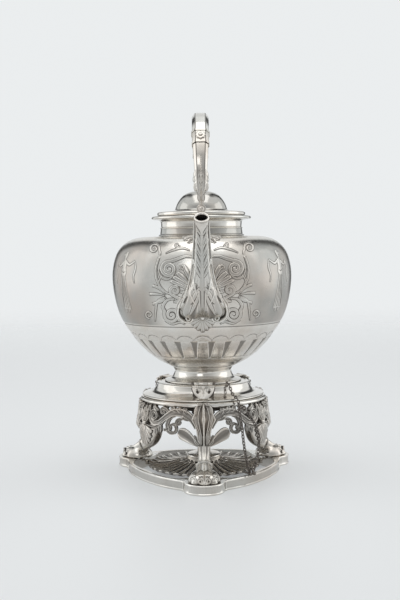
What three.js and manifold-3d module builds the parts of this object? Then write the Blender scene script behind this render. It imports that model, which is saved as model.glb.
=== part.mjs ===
// A silver tea kettle with a swing handle, on a three-legged stand with a spirit lamp.
// Millimetres, +Z up. The spout faces -Y. The floor is z = 0 and the stand's axis is vertical.
import * as THREE from "three";
import { mergeVertices } from "three/addons/utils/BufferGeometryUtils.js";
import Module from "manifold-3d";

const wasm = await Module();
wasm.setup();

// Driving dimensions
const GAP = 0.3; // air left between pieces that touch
const SIDES = 28; // facets round the large turned pieces
const REACH = 400; // more than the kettle's size, for cutting it in two
const WALL = 1.6; // thickness of the kettle's sheet
const LEG_ANGLES = { front: 0, right: 120, left: 240 }; // degrees from -Y towards +X
const PANEL_ANGLES = { right: 60, back: 180, left: 300 };

const BELLY_RADIUS = 97.9;
const BELLY_HEIGHT = 214;
const BODY_BOTTOM = 120.6;
const BODY_TOP = 261.6;
const MOUTH_RADIUS = 42;
const SEAM_HEIGHT = 166.7;
const SEAM_RADIUS = 83.4;
const FOOT_BOTTOM = 103.3;
const FOOT_RADIUS = 46;
const NECK_FLANGE_RADIUS = 54.5;
const NECK_TOP = 283.3;
const NECK_BORE = 41.5;

const PIVOT_HEIGHT = 289;
const PIVOT_OUT = 66; // rivet head side of the bracket, from the axis
const RIVET_RADIUS = 1.6;
const HANDLE_TOP = 393.8;

const LID_HINGE = { out: 56.4, height: 285.6, barrel: 2.2, pin: 1 };
const FOOT_HINGE = { out: 50.6, height: 105.6, barrel: 2.1, pin: 1 };

const RING_TOP = 86.3;
const RING_BOTTOM = 76.8;
const RING_RADIUS = 69.2;
const BASE_HEIGHT = 10.5;
const DISH_RADIUS = 61;
const DISH_FLOOR = 9.1;
const CHAIN_RADIUS = 1.9;

const SILVER = { color: 0xb9b4aa, roughness: 0.28, metalness: 1 };
const DARK_SILVER = { color: 0x8d867c, roughness: 0.4, metalness: 1 };
const STEEL = { color: 0x6c6864, roughness: 0.45, metalness: 1 };
const COTTON = { color: 0xd9d0bd, roughness: 0.95, metalness: 0 };

const object = new THREE.Group();

// Turns degrees into radians.
const rad = THREE.MathUtils.degToRad;

// Returns a 2-D point.
const at = (x, y) => new THREE.Vector2(x, y);

// Adds one named piece to the object.
function piece(name, geometry, finish = SILVER) {
  const mesh = new THREE.Mesh(geometry, new THREE.MeshStandardMaterial(finish));
  mesh.name = name;
  object.add(mesh);
  return mesh;
}

// Turns a geometry about the stand's axis. Angle 0 is the front, -Y, and 90 is +X.
function turned(geometry, angle) {
  return geometry.clone().rotateZ(rad(angle));
}

// Makes a closed solid from a geometry, leaving out triangles that have no area.
function solid(geometry) {
  const bare = geometry.clone();
  bare.deleteAttribute("normal");
  bare.deleteAttribute("uv");
  const merged = mergeVertices(bare, 1e-4);
  const triangles = [];
  for (let i = 0; i < merged.index.count; i += 3) {
    const [a, b, c] = [0, 1, 2].map((k) => merged.index.getX(i + k));
    if (a !== b && b !== c && c !== a) {
      triangles.push(a, b, c);
    }
  }
  const vertProperties = new Float32Array(merged.attributes.position.array);
  const triVerts = new Uint32Array(triangles);
  return new wasm.Manifold(new wasm.Mesh({ numProp: 3, vertProperties, triVerts }));
}

// Turns a solid back into a geometry.
function geometryOf(shape) {
  const mesh = shape.getMesh();
  const geometry = new THREE.BufferGeometry();
  geometry.setAttribute("position", new THREE.BufferAttribute(mesh.vertProperties, 3));
  geometry.setIndex(new THREE.BufferAttribute(mesh.triVerts, 1));
  geometry.computeVertexNormals();
  return geometry;
}

// Joins geometries into one.
function joined(first, ...others) {
  return geometryOf(others.reduce((sum, other) => sum.add(solid(other)), solid(first)));
}

// Cuts geometries out of one.
function cut(first, ...others) {
  return geometryOf(others.reduce((rest, other) => rest.subtract(solid(other)), solid(first)));
}

// Revolves an outline of [radius, height] pairs about the vertical axis.
function lathe(outline, sides = SIDES) {
  const points = outline.map(([radius, height]) => at(radius, height));
  const closed = outline[0][0] === 0 ? points : [...points, points[0]];
  const counterclockwise = THREE.ShapeUtils.area(points) > 0;
  const profile = counterclockwise ? closed : [...closed].reverse();
  return new THREE.LatheGeometry(profile, sides).rotateX(Math.PI / 2);
}

// A round bar along X, Y or Z, centred on a point.
function bar(axis, radius, length, x, y, z, sides = 10) {
  const geometry = new THREE.CylinderGeometry(radius, radius, length, sides);
  if (axis === "x") {
    geometry.rotateZ(Math.PI / 2);
  }
  if (axis === "z") {
    geometry.rotateX(Math.PI / 2);
  }
  return geometry.translate(x, y, z);
}

// A box centred on a point.
function block(width, depth, height, x, y, z) {
  return new THREE.BoxGeometry(width, depth, height).translate(x, y, z);
}

// Keeps the part of a geometry above or below a height.
function above(geometry, height) {
  return cut(geometry, block(2 * REACH, 2 * REACH, REACH, 0, 0, height - REACH / 2));
}
function below(geometry, height) {
  return cut(geometry, block(2 * REACH, 2 * REACH, REACH, 0, 0, height + REACH / 2));
}

// Moves every point of a geometry through a function of the point.
function warped(geometry, place) {
  const position = geometry.attributes.position;
  const point = new THREE.Vector3();
  for (let i = 0; i < position.count; i += 1) {
    point.fromBufferAttribute(position, i);
    point.copy(place(point));
    position.setXYZ(i, point.x, point.y, point.z);
  }
  geometry.computeVertexNormals();
  return geometry;
}

// A regular section with flats, one unit in radius.
function section(sides, turn = 0) {
  const shape = new THREE.Shape();
  for (let i = 0; i < sides; i += 1) {
    const angle = turn + (i / sides) * 2 * Math.PI;
    const step = i === 0 ? "moveTo" : "lineTo";
    shape[step](Math.cos(angle), Math.sin(angle));
  }
  shape.closePath();
  return shape;
}

// A bar along a curve in the YZ plane. The curve holds (y, z); halfWidth(t) is along X and
// halfDepth(t) is across the curve, with t from 0 to 1.
function swept(curve, halfWidth, halfDepth, steps, sides, from = 0, to = 1) {
  const settings = { depth: 1, steps, bevelEnabled: false };
  const straight = new THREE.ExtrudeGeometry(section(sides, Math.PI / sides), settings);
  return warped(straight, (p) => {
    const wanted = from + (to - from) * p.z;
    const t = THREE.MathUtils.clamp(wanted, 0, 1);
    const past = (wanted - t) * curve.getLength();
    const middle = curve.getPoint(t);
    const along = curve.getTangent(t);
    const across = p.y * halfDepth(t);
    const y = middle.x + across * along.y + past * along.x;
    const z = middle.y - across * along.x + past * along.y;
    return new THREE.Vector3(p.x * halfWidth(t), y, z);
  });
}

// Reads a value from evenly spaced stations, smoothly.
function stations(values) {
  const curve = new THREE.SplineCurve(values.map((value, i) => at(i, value)));
  return (t) => curve.getPoint(t).y;
}

// A flat plate from an outline of [x, y] pairs, extruded up from z = 0.
function plate(outline, thickness, holes = []) {
  const shape = new THREE.Shape(outline.map(([x, y]) => at(x, y)));
  for (const hole of holes) {
    shape.holes.push(new THREE.Path(hole.map(([x, y]) => at(x, y))));
  }
  return new THREE.ExtrudeGeometry(shape, { depth: thickness, bevelEnabled: false });
}

// Stands a plate up: its x stays along X, its y becomes Z, and it grows from y towards -Y.
function upright(geometry, y) {
  return geometry.rotateX(Math.PI / 2).translate(0, y, 0);
}

// ---- Kettle body, wire, foot and neck ----

const bodyCurve = new THREE.SplineCurve([
  at(34, BODY_BOTTOM),
  at(53, 131.5),
  at(76.5, 155),
  at(91.5, 181),
  at(BELLY_RADIUS, BELLY_HEIGHT),
  at(95, 238),
  at(86, 252.6),
  at(70, 260.4),
  at(MOUTH_RADIUS, BODY_TOP),
]);

// The body's outline, moved outwards by a distance.
function bodyOutline(offset, steps) {
  const outline = [];
  for (let i = 0; i <= steps; i += 1) {
    const point = bodyCurve.getPoint(i / steps);
    const along = bodyCurve.getTangent(i / steps);
    outline.push([point.x + offset * along.y, point.y - offset * along.x]);
  }
  return outline;
}

// The body as a full solid, moved outwards by a distance, for cutting its neighbours.
function bodyFilled(offset) {
  const skin = bodyOutline(offset, 20);
  const top = skin[skin.length - 1][1];
  return lathe([[0, skin[0][1]], ...skin, [0, top]]);
}

const SPOUT_PORT = { radius: 7, height: 214 };

// The raised shell, open at the mouth and at the spout's port. It is made in two parts.
function kettleShell() {
  const outer = bodyOutline(0, 15);
  const inner = bodyOutline(-WALL, 9).reverse();
  const floor = BODY_BOTTOM + WALL;
  const shell = lathe([[0, BODY_BOTTOM], ...outer, ...inner.slice(0, -1), [33, floor], [0, floor]]);
  return cut(shell, bar("y", SPOUT_PORT.radius, 30, 0, -BELLY_RADIUS, SPOUT_PORT.height));
}
piece("kettle_bowl", below(kettleShell(), SEAM_HEIGHT - GAP / 2));
piece("kettle_shoulder", above(kettleShell(), SEAM_HEIGHT + GAP / 2));

piece(
  "belly_wire",
  cut(
    lathe([
      [SEAM_RADIUS - 1, SEAM_HEIGHT - 2],
      [SEAM_RADIUS + 1, SEAM_HEIGHT - 2],
      [SEAM_RADIUS + 2.4, SEAM_HEIGHT],
      [SEAM_RADIUS + 2.2, SEAM_HEIGHT + 1.8],
      [SEAM_RADIUS - 1, SEAM_HEIGHT + 2],
    ]),
    bodyFilled(GAP),
  ),
  DARK_SILVER,
);

piece(
  "kettle_foot",
  lathe([
    [33.5, BODY_BOTTOM - GAP],
    [31.4, 115.5],
    [33.5, 110],
    [38.5, 107.2],
    [FOOT_RADIUS, 106.2],
    [FOOT_RADIUS, FOOT_BOTTOM],
    [41, FOOT_BOTTOM],
    [32.5, 106.6],
    [29.6, 111.5],
    [29.6, BODY_BOTTOM - GAP],
  ]),
);

const kettleNeck = lathe([
  [NECK_BORE, BODY_TOP + GAP],
  [46, BODY_TOP + GAP],
  [47, 263.6],
  [45.6, 265.6],
  [43.6, 267],
  [44, 276],
  [46.5, 279],
  [53.6, 279.6],
  [NECK_FLANGE_RADIUS, 281.6],
  [53.2, NECK_TOP],
  [NECK_BORE, NECK_TOP],
]);
piece("kettle_neck", kettleNeck);

// ---- Spout ----

const spoutCurve = new THREE.SplineCurve([
  at(-84, 203),
  at(-104, 211),
  at(-117, 228),
  at(-124, 248),
  at(-130, 266),
  at(-139, 280),
]);
const spoutWidth = stations([22, 19.5, 12, 9.2, 8.4, 8]);
const spoutDepth = stations([26, 20, 12.5, 9.4, 8.2, 8]);

function spout() {
  const skin = swept(spoutCurve, spoutWidth, spoutDepth, 9, 12);
  const thinner = (size) => (t) => size(t) - WALL;
  const bore = swept(spoutCurve, thinner(spoutWidth), thinner(spoutDepth), 9, 8, -0.02, 1.02);
  return cut(skin, bore, bodyFilled(GAP));
}
piece("spout", spout());

// ---- Handle: brackets and rivets on the kettle, then the swinging bail ----

const BRACKET = { thickness: 3.4, lug: 4.4, base: 17, foot: 255 };

function handleBracket() {
  const outline = [];
  for (let i = 0; i <= 8; i += 1) {
    const angle = (i / 8) * Math.PI;
    const reach = BRACKET.lug;
    outline.push([reach * Math.cos(angle), PIVOT_HEIGHT + reach * Math.sin(angle)]);
  }
  const { base, foot } = BRACKET;
  outline.push([-3.6, 276], [-5, 268], [-12, 265], [-base, 261], [-base, foot]);
  outline.push([base, foot], [base, 261], [12, 265], [5, 268], [3.6, 276]);
  const inner = -PIVOT_OUT + BRACKET.thickness + GAP;
  const fan = upright(plate(outline, BRACKET.thickness), inner);
  const rivetHole = bar("y", RIVET_RADIUS + GAP, 12, 0, -PIVOT_OUT, PIVOT_HEIGHT);
  return cut(fan, bodyFilled(GAP), rivetHole);
}

function handleRivet() {
  const { thickness } = BRACKET;
  const shank = bar("y", RIVET_RADIUS, 9.4, 0, -PIVOT_OUT - 0.3, PIVOT_HEIGHT);
  const head = bar("y", 3, 1.3, 0, -PIVOT_OUT - 5.3, PIVOT_HEIGHT);
  const tail = bar("y", 2.6, 1, 0, -PIVOT_OUT + thickness + 1.2, PIVOT_HEIGHT);
  return joined(shank, head, tail);
}

const archCurve = new THREE.SplineCurve([
  at(-68.4, PIVOT_HEIGHT + 2),
  at(-75, 311),
  at(-77, 335),
  at(-68.4, 356.6),
  at(-52.4, 374),
  at(-28, 384.7),
  at(0, HANDLE_TOP - 6.6),
  at(28, 384.7),
  at(52.4, 374),
  at(68.4, 356.6),
  at(77, 335),
  at(75, 311),
  at(68.4, PIVOT_HEIGHT + 2),
]);
const archWidth = stations([4, 6.4, 7, 8.2, 8.9, 9.1, 9.1, 9.1, 8.9, 8.2, 7, 6.4, 4]);
const archDepth = stations([2.4, 4.6, 5.4, 6, 6.8, 7.1, 7.1, 7.1, 6.8, 6, 5.4, 4.6, 2.4]);
const CLASP_FROM = 0.238;
const CLASP_TO = 0.295;

function handleBranch() {
  const upper = CLASP_FROM - 0.002;
  const branch = swept(archCurve, archWidth, archDepth, 7, 8, 0, upper);
  const eye = bar("y", 4.9, 3.8, 0, -PIVOT_OUT - 2.2, PIVOT_HEIGHT);
  const rivetHole = bar("y", RIVET_RADIUS + GAP, 12, 0, -PIVOT_OUT, PIVOT_HEIGHT);
  const slot = block(12, 10, 12, 0, -PIVOT_OUT + 4.7, PIVOT_HEIGHT);
  const headRoom = bar("y", 3.4, 4, 0, -PIVOT_OUT - 6.1, PIVOT_HEIGHT);
  return cut(joined(branch, eye), rivetHole, slot, headRoom);
}

function handleClasp() {
  const wider = (size) => (t) => size(t) + 0.8;
  const band = swept(archCurve, wider(archWidth), wider(archDepth), 2, 8, CLASP_FROM, CLASP_TO);
  const t = (CLASP_FROM + CLASP_TO) / 2;
  const middle = archCurve.getPoint(t);
  const along = archCurve.getTangent(t);
  const rosette = new THREE.CylinderGeometry(4.6, 4.6, 2, 12);
  rosette.rotateX(Math.atan2(-along.x, along.y));
  const out = archDepth(t) + 0.8;
  return joined(band, rosette.translate(0, middle.x - out * along.y, middle.y + out * along.x));
}

for (const [side, angle] of [["front", 0], ["back", 180]]) {
  piece(`handle_bracket_${side}`, turned(handleBracket(), angle));
  piece(`handle_rivet_${side}`, turned(handleRivet(), angle));
  piece(`handle_branch_${side}`, turned(handleBranch(), angle));
  piece(`handle_clasp_${side}`, turned(handleClasp(), angle));
}
const gripFrom = CLASP_TO + 0.002;
piece("handle_grip", swept(archCurve, archWidth, archDepth, 10, 8, gripFrom, 1 - gripFrom));

// ---- Lid and its hinge ----

const LID_BOTTOM = NECK_TOP + GAP;
const LID_SKIRT = { inner: 38.9, outer: 40.2, bottom: 277.5, top: 285.6 };

piece(
  "lid",
  lathe(
    [
      [2.3, 310.8],
      [12, 309.7],
      [18.7, 306.4],
      [23.4, 302],
      [26.4, 296.5],
      [28.6, 292.6],
      [34, 289.6],
      [46.5, 288],
      [48.4, 286.5],
      [47.6, LID_BOTTOM],
      [LID_SKIRT.outer + GAP, LID_BOTTOM],
      [LID_SKIRT.outer + GAP, LID_SKIRT.top + GAP],
      [37, LID_SKIRT.top + GAP],
      [30, 288.6],
      [21.6, 300.4],
      [12, 307.6],
      [2.3, 308.9],
    ],
    24,
  ),
);

piece(
  "lid_skirt",
  lathe(
    [
      [LID_SKIRT.outer, LID_SKIRT.bottom],
      [LID_SKIRT.outer, LID_SKIRT.top],
      [LID_SKIRT.inner, LID_SKIRT.top],
      [LID_SKIRT.inner, LID_SKIRT.bottom],
    ],
    24,
  ),
);

piece(
  "lid_finial",
  lathe(
    [
      [0, 303.4],
      [1.9, 303.4],
      [1.9, 311.1],
      [6.4, 311.1],
      [5.6, 313.4],
      [3.2, 315.4],
      [4.2, 317.6],
      [8.4, 320.6],
      [8.8, 324.6],
      [6.2, 329.4],
      [2.6, 332.6],
      [0, 333.6],
    ],
    12,
  ),
);

function hexNut(acrossCorners, bore, height) {
  const ring = (radius, sides) => {
    const corners = [];
    for (let i = 0; i < sides; i += 1) {
      const angle = (i / sides) * 2 * Math.PI;
      corners.push([radius * Math.cos(angle), radius * Math.sin(angle)]);
    }
    return corners;
  };
  return plate(ring(acrossCorners, 6), height, [ring(bore, 12)]);
}
piece("lid_finial_nut", hexNut(4.6, 2.2, 3).translate(0, 0, 304.4), DARK_SILVER);

// One hinge barrel along X at the back, with a strap to the piece that carries it.
function hingeBarrel(hinge, from, to, strap) {
  const { out, height, barrel, pin } = hinge;
  const middle = (from + to) / 2;
  const width = to - from;
  const round = bar("x", barrel, width, middle, out, height);
  const joinedStrap = joined(round, block(width, ...strap.size, middle, ...strap.place));
  return cut(joinedStrap, bar("x", pin + 0.2, width + 2, middle, out, height));
}

function lidHingeLug() {
  const strap = { size: [2.2, 4.2], place: [LID_HINGE.out - 0.9, LID_HINGE.height - 2.9] };
  const ears = [-9.2, 4.2].map((from) => hingeBarrel(LID_HINGE, from, from + 5, strap));
  const web = block(18.4, 2.2, 2, 0, LID_HINGE.out - 0.9, LID_HINGE.height - 4);
  return cut(joined(ears[0], ears[1], web), lathe([
    [0, 279.3],
    [NECK_FLANGE_RADIUS + GAP, 279.3],
    [NECK_FLANGE_RADIUS + GAP, 287],
    [0, 287],
  ]));
}
piece("lid_hinge_lug", lidHingeLug());

const leafStrap = { size: [7.4, 1.6], place: [LID_HINGE.out - 4.3, LID_HINGE.height + 1.1] };
piece(
  "lid_hinge_leaf",
  cut(hingeBarrel(LID_HINGE, -3.8, 3.8, leafStrap), lathe([
    [0, 280],
    [48.4 + GAP, 280],
    [48.4 + GAP, 290],
    [0, 290],
  ])),
);
piece(
  "lid_hinge_pin",
  bar("x", LID_HINGE.pin, 19.6, 0, LID_HINGE.out, LID_HINGE.height, 10),
  STEEL,
);

// ---- Stand: collar, ring, clasps and the knuckles on the kettle's foot ----

piece(
  "stand_collar",
  lathe([
    [40.5, FOOT_BOTTOM - GAP],
    [47, 102.6],
    [50, 100.4],
    [52.4, 96.4],
    [54.6, 92.8],
    [59, 90],
    [66.4, 88.4],
    [67.6, RING_TOP + GAP],
    [57, RING_TOP + GAP],
    [51, 90.6],
    [47.6, 96.4],
    [45, 99.6],
    [40.5, 100.4],
  ]),
);

piece(
  "stand_ring",
  lathe([
    [60.5, RING_TOP],
    [67.4, RING_TOP],
    [RING_RADIUS, 84],
    [RING_RADIUS, 80],
    [67.4, RING_BOTTOM],
    [60.5, RING_BOTTOM],
  ]),
);

const CLASP = { half: 11.4, thickness: 1.8, earFrom: 4.9, earTo: 9.6, tilt: 59 };

// The clasp at the front: a palmette plate on the collar's slope, with two ears above it.
function clasp() {
  const outline = [[-9.4, 13.2], [-CLASP.half, 7], [-8.8, 2.4], [-4, 0]];
  const mirrored = [...outline].reverse().map(([x, y]) => [-x, y]);
  const lower = plate([...outline, ...mirrored], CLASP.thickness);
  lower.rotateX(rad(CLASP.tilt)).translate(0, -59.2, 92);
  const ears = [-1, 1].map((side) => {
    const middle = (side * (CLASP.earFrom + CLASP.earTo)) / 2;
    const width = CLASP.earTo - CLASP.earFrom;
    const { out, height, barrel } = FOOT_HINGE;
    const round = bar("x", barrel, width, middle, -out, height);
    return joined(round, block(width, 4.2, 4.4, middle, -out - 1.7, height - 2.6));
  });
  const hole = bar("x", FOOT_HINGE.pin + 0.25, 30, 0, -FOOT_HINGE.out, FOOT_HINGE.height);
  return cut(joined(lower, ...ears), hole);
}

// The knuckle on the kettle's foot, between the clasp's ears.
function footKnuckle() {
  const { out, height, barrel, pin } = FOOT_HINGE;
  const round = bar("x", barrel, 9, 0, -out, height);
  const strap = block(9, out - FOOT_RADIUS - GAP, 2, 0, -(out + FOOT_RADIUS + GAP) / 2, height - 0.2);
  return cut(joined(round, strap), bar("x", pin + 0.25, 12, 0, -out, height));
}

for (const [side, angle] of Object.entries(LEG_ANGLES)) {
  piece(`clasp_${side}`, turned(clasp(), angle));
  piece(`foot_knuckle_${side}`, turned(footKnuckle(), angle));
}
const pinRod = bar("x", FOOT_HINGE.pin, 22.4, 0, -FOOT_HINGE.out, FOOT_HINGE.height, 10);
const pinEnds = [-1, 1].map((side) => {
  const ball = new THREE.SphereGeometry(1.7, 8, 4);
  return ball.translate(side * 11.6, -FOOT_HINGE.out, FOOT_HINGE.height);
});
piece("hinge_pin", joined(pinRod, ...pinEnds), STEEL);

// ---- Legs ----

const LEG = { top: 90, capital: 10.6, stem: 7.4, foot: 15 };

// A plate in the leg's side view, [distance out, height], centred on the YZ plane.
function sidePlate(outline, halfWidth) {
  const flat = plate(outline, 2 * halfWidth).translate(0, 0, -halfWidth);
  return warped(flat, (p) => new THREE.Vector3(-p.z, -p.x, p.y));
}

function leg() {
  const stem = sidePlate(
    [
      [69.8, 77],
      [69.8, 88],
      [73, LEG.top],
      [75.6, 86],
      [75.2, 74],
      [74.6, 60],
      [74.4, 48],
      [76, 39],
      [81, 32],
      [91, 25],
      [100, 18.6],
      [104.4, 14],
      [103.4, BASE_HEIGHT + GAP],
      [74.6, BASE_HEIGHT + GAP],
      [71.6, 19],
      [64, 30],
      [59.4, 42],
      [60.4, 54],
      [64.6, 66],
      [65.6, RING_BOTTOM - GAP],
      [69.8, RING_BOTTOM - GAP],
    ],
    LEG.stem,
  );
  const capitalOutline = [[-8, 88.6], [-9.4, 82], [-LEG.capital, 76], [-11.2, 66], [-9, 54]];
  const otherHalf = [...capitalOutline].reverse().map(([x, y]) => [-x, y]);
  const capital = upright(plate([...capitalOutline, ...otherHalf], 4.4), -69.8);
  const sideLeaves = [-1, 1].map((side) => {
    const leaf = new THREE.SphereGeometry(1, 8, 5).scale(12, 2.4, 5);
    leaf.rotateY(-side * rad(30)).rotateZ(-side * rad(16));
    return leaf.translate(side * 16, -77.4, 53);
  });
  const toe = new THREE.SphereGeometry(1, 12, 6).scale(LEG.foot, 17.4, 9);
  toe.translate(0, -88.4, 15.6);
  const floor = block(60, 60, 20, 0, -85, BASE_HEIGHT + GAP - 10);
  const screwHole = bar("z", 2, 12, 0, -84, BASE_HEIGHT + 3);
  return cut(joined(stem, capital, ...sideLeaves, toe), floor, screwHole);
}
const legShape = leg();
for (const [side, angle] of Object.entries(LEG_ANGLES)) {
  piece(`leg_${side}`, turned(legShape, angle));
}

// ---- Openwork panels between the legs ----

const PANEL = { radius: 67.4, thickness: 3.6, reach: 49.4 };

// Bends a flat panel round the stand. x is degrees from the panel's middle and y is height.
// The panel leans out a little towards its middle height.
function bent(flat) {
  return warped(flat, (p) => {
    const lean = 3.4 * Math.sin(Math.PI * THREE.MathUtils.clamp((76 - p.y) / 30, 0, 1));
    const radius = PANEL.radius + lean + p.z;
    const angle = rad(p.x);
    return new THREE.Vector3(radius * Math.sin(angle), -radius * Math.cos(angle), p.y);
  });
}

// A strip along a curve of [degrees, height] points, as wide in millimetres as widths says.
function strip(points, widths, steps) {
  const degrees = 360 / (2 * Math.PI * (PANEL.radius + 4));
  const curve = new THREE.SplineCurve(points.map(([x, y]) => at(x / degrees, y)));
  const width = stations(widths);
  const [left, right] = [[], []];
  for (let i = 0; i <= steps; i += 1) {
    const t = i / steps;
    const middle = curve.getPoint(t);
    const along = curve.getTangent(t);
    const half = width(t) / 2;
    left.push([(middle.x - half * along.y) * degrees, middle.y + half * along.x]);
    right.unshift([(middle.x + half * along.y) * degrees, middle.y - half * along.x]);
  }
  return bent(plate([...left, ...right], PANEL.thickness));
}

function friezePanel() {
  const half = (side) => {
    const flip = (points) => points.map(([x, y]) => [side * x, y]);
    return [
      strip(
        flip([[PANEL.reach, 60], [46, 67], [37, 72.6], [27, 69.6], [17, 59.6], [9, 60.4], [8.6, 68.6]]),
        [6.4, 8.4, 6.2, 5.2, 4.6, 4.4, 3.6],
        7,
      ),
      strip(flip([[9.2, 68], [14.6, 70.6], [15.6, 66], [11.6, 65]]), [3.4, 4, 3.4, 2.6], 3),
      strip(flip([[19.6, 61.4], [26, 54], [34, 55], [35.4, 63.4], [29.8, 67.4]]), [4.4, 4.8, 4.8, 4, 3.6], 5),
    ];
  };
  const fan = bent(
    plate(
      [
        [-9.6, 60.6],
        [-10.4, 52],
        [-7, 45.6],
        [-3.2, 43],
        [0, 42],
        [3.2, 43],
        [7, 45.6],
        [10.4, 52],
        [9.6, 60.6],
        [4.8, 62.6],
        [0, 63],
        [-4.8, 62.6],
      ],
      PANEL.thickness,
    ),
  );
  const top = strip([[-9.4, 67], [-5, 73], [0, 74.4], [5, 73], [9.4, 67]], [3, 3.4, 3.4, 3.4, 3], 4);
  const [first, ...rest] = [...half(-1), ...half(1), fan, top];
  return joined(first, ...rest);
}
const panelShape = friezePanel();
for (const [side, angle] of Object.entries(PANEL_ANGLES)) {
  piece(`frieze_${side}`, turned(panelShape, angle), DARK_SILVER);
}

// ---- Base frame, screws, arms and dish ----

// One third of an edge, as [degrees from the leg, radius], mirrored about the leg.
function threefold(half) {
  const third = [...half.slice(1).reverse().map(([a, r]) => [-a, r]), ...half];
  const edge = [];
  for (const turn of [0, 120, 240]) {
    for (const [angle, radius] of third) {
      const a = rad(angle + turn);
      edge.push([radius * Math.sin(a), -radius * Math.cos(a)]);
    }
  }
  return edge;
}

const outerEdge = [[0, 109.5], [2.4, 109.1], [4.8, 107.9], [7.1, 105.9], [9.2, 103.1], [11, 99.6]];
outerEdge.push([12.6, 95.4], [13.6, 91.6], [15, 88.6], [24, 87], [34, 84.8], [43, 82], [52, 79.6]);
const innerEdge = [[0, 71], [9, 71.4], [15, 75.2], [20, 79], [30, 77.4], [42, 73.8], [54, 70.6]];
const SCREW = { out: 84, shank: 1.7, head: 3.5 };

function baseFrame() {
  const frame = plate(threefold(outerEdge), BASE_HEIGHT, [threefold(innerEdge).reverse()]);
  const holes = [0, 120, 240].flatMap((angle) => [
    turned(bar("z", SCREW.shank + GAP, 30, 0, -SCREW.out, BASE_HEIGHT), angle),
    turned(bar("z", SCREW.head + GAP, 8, 0, -SCREW.out, 0), angle),
  ]);
  return cut(frame, ...holes);
}
piece("base_frame", baseFrame());

const screwShape = lathe(
  [
    [0, 1.4],
    [SCREW.head, 1.4],
    [SCREW.head, 3.4],
    [SCREW.shank, 3.8],
    [SCREW.shank, 18.4],
    [0, 19],
  ],
  12,
).translate(0, -SCREW.out, 0);
const armShape = joined(
  block(8, 32, 2.6, 0, -54.4, 5.4),
  block(8, 3, 5.6, 0, -68.9, 4.4),
);
for (const [side, angle] of Object.entries(LEG_ANGLES)) {
  piece(`leg_screw_${side}`, turned(screwShape, angle), STEEL);
  piece(`dish_arm_${side}`, turned(armShape, angle), DARK_SILVER);
}

piece(
  "drip_dish",
  lathe([
    [0, 7],
    [40, 7],
    [52, 9],
    [59.4, 12.4],
    [DISH_RADIUS, 14.4],
    [58.6, 14.8],
    [50.6, 11],
    [38, DISH_FLOOR],
    [0, DISH_FLOOR],
  ]),
  DARK_SILVER,
);

// ---- Spirit lamp ----

piece(
  "lamp_font",
  lathe(
    [
      [0, DISH_FLOOR + GAP],
      [15.4, DISH_FLOOR + GAP],
      [18.8, 11.8],
      [18.8, 20],
      [16.4, 22.4],
      [7, 23.2],
      [7, 25],
      [5, 25],
      [5, 21.6],
      [15.6, 20.8],
      [17.2, 19],
      [17.2, 12.6],
      [14.6, 11],
      [0, 11],
    ],
    18,
  ),
);
piece(
  "wick_holder",
  lathe(
    [
      [2.7, 14],
      [4.6, 14],
      [4.6, 25 + GAP],
      [7, 25 + GAP],
      [6.6, 27.4],
      [4.2, 28.2],
      [4, 34],
      [2.7, 34],
    ],
    12,
  ),
  DARK_SILVER,
);
piece("wick", bar("z", 2.3, 24, 0, 0, 24.6, 12), COTTON);

// ---- Chain, its eyes and the lock pin ----

// An eye on a short stem. The ring's plane is the radial plane at its angle.
function chainEye(out, height, angle, stem) {
  const ring = new THREE.TorusGeometry(2.2, 0.7, 5, 10).rotateY(Math.PI / 2);
  ring.translate(0, -out, height);
  return turned(joined(ring, block(...stem.size, 0, ...stem.place)), angle);
}

const COLLAR_EYE = { angle: 30, out: 50.6, height: 104.2 };
const RING_EYE = { angle: 36, out: 72.6, height: 80.6 };
const collarStem = { size: [1.8, 1.8, 1.6], place: [-COLLAR_EYE.out, 101.8] };
const ringStem = { size: [1.8, 1.4, 1.8], place: [-70.2, RING_EYE.height] };
const collarEye = chainEye(COLLAR_EYE.out, COLLAR_EYE.height, COLLAR_EYE.angle, collarStem);
piece("chain_eye_collar", collarEye);
piece("chain_eye_ring", chainEye(RING_EYE.out, RING_EYE.height, RING_EYE.angle, ringStem));

// The chain's routes, from each eye to the lock pin's ring.
const LEFT_ROUTE = [
  [27.4, -47.4, 103.8],
  [28.4, -49.4, 101],
  [30, -52, 96],
  [32.8, -56.8, 92.8],
  [35.4, -61.4, 91],
  [36.8, -63.8, 86],
  [37.4, -65, 80],
  [38.4, -66, 72],
  [39.6, -66.8, 64],
  [40.4, -67.4, 56],
  [41.2, -67.8, 48],
  [42.2, -68.2, 40],
  [43.4, -68.6, 32],
  [44.6, -68.8, 25],
  [45.6, -68.4, 19.6],
  [46.8, -67.5, 16.2],
  [48.1, -66.5, 14.9],
];
const RIGHT_ROUTE = [
  [50.4, -64.7, 14.9],
  [51.8, -64, 16.4],
  [53, -64, 20],
  [54.4, -64, 25],
  [56, -63.6, 31],
  [57.2, -62.6, 38],
  [57.8, -60.6, 45],
  [57.8, -59, 51],
  [56.4, -58.6, 57],
  [54, -59.4, 63],
  [51, -60.6, 68.4],
  [48, -61.4, 73],
  [45.8, -61.4, 76.8],
];

function chainRun(route) {
  const path = new THREE.CatmullRomCurve3(route.map((p) => new THREE.Vector3(...p)));
  const shape = new THREE.Shape(section(8).getPoints().map((p) => p.multiplyScalar(CHAIN_RADIUS)));
  const settings = { steps: route.length + 3, bevelEnabled: false, extrudePath: path };
  return new THREE.ExtrudeGeometry(shape, settings);
}
piece("pin_chain_left", chainRun(LEFT_ROUTE), STEEL);
piece("pin_chain_right", chainRun(RIGHT_ROUTE), STEEL);

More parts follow.
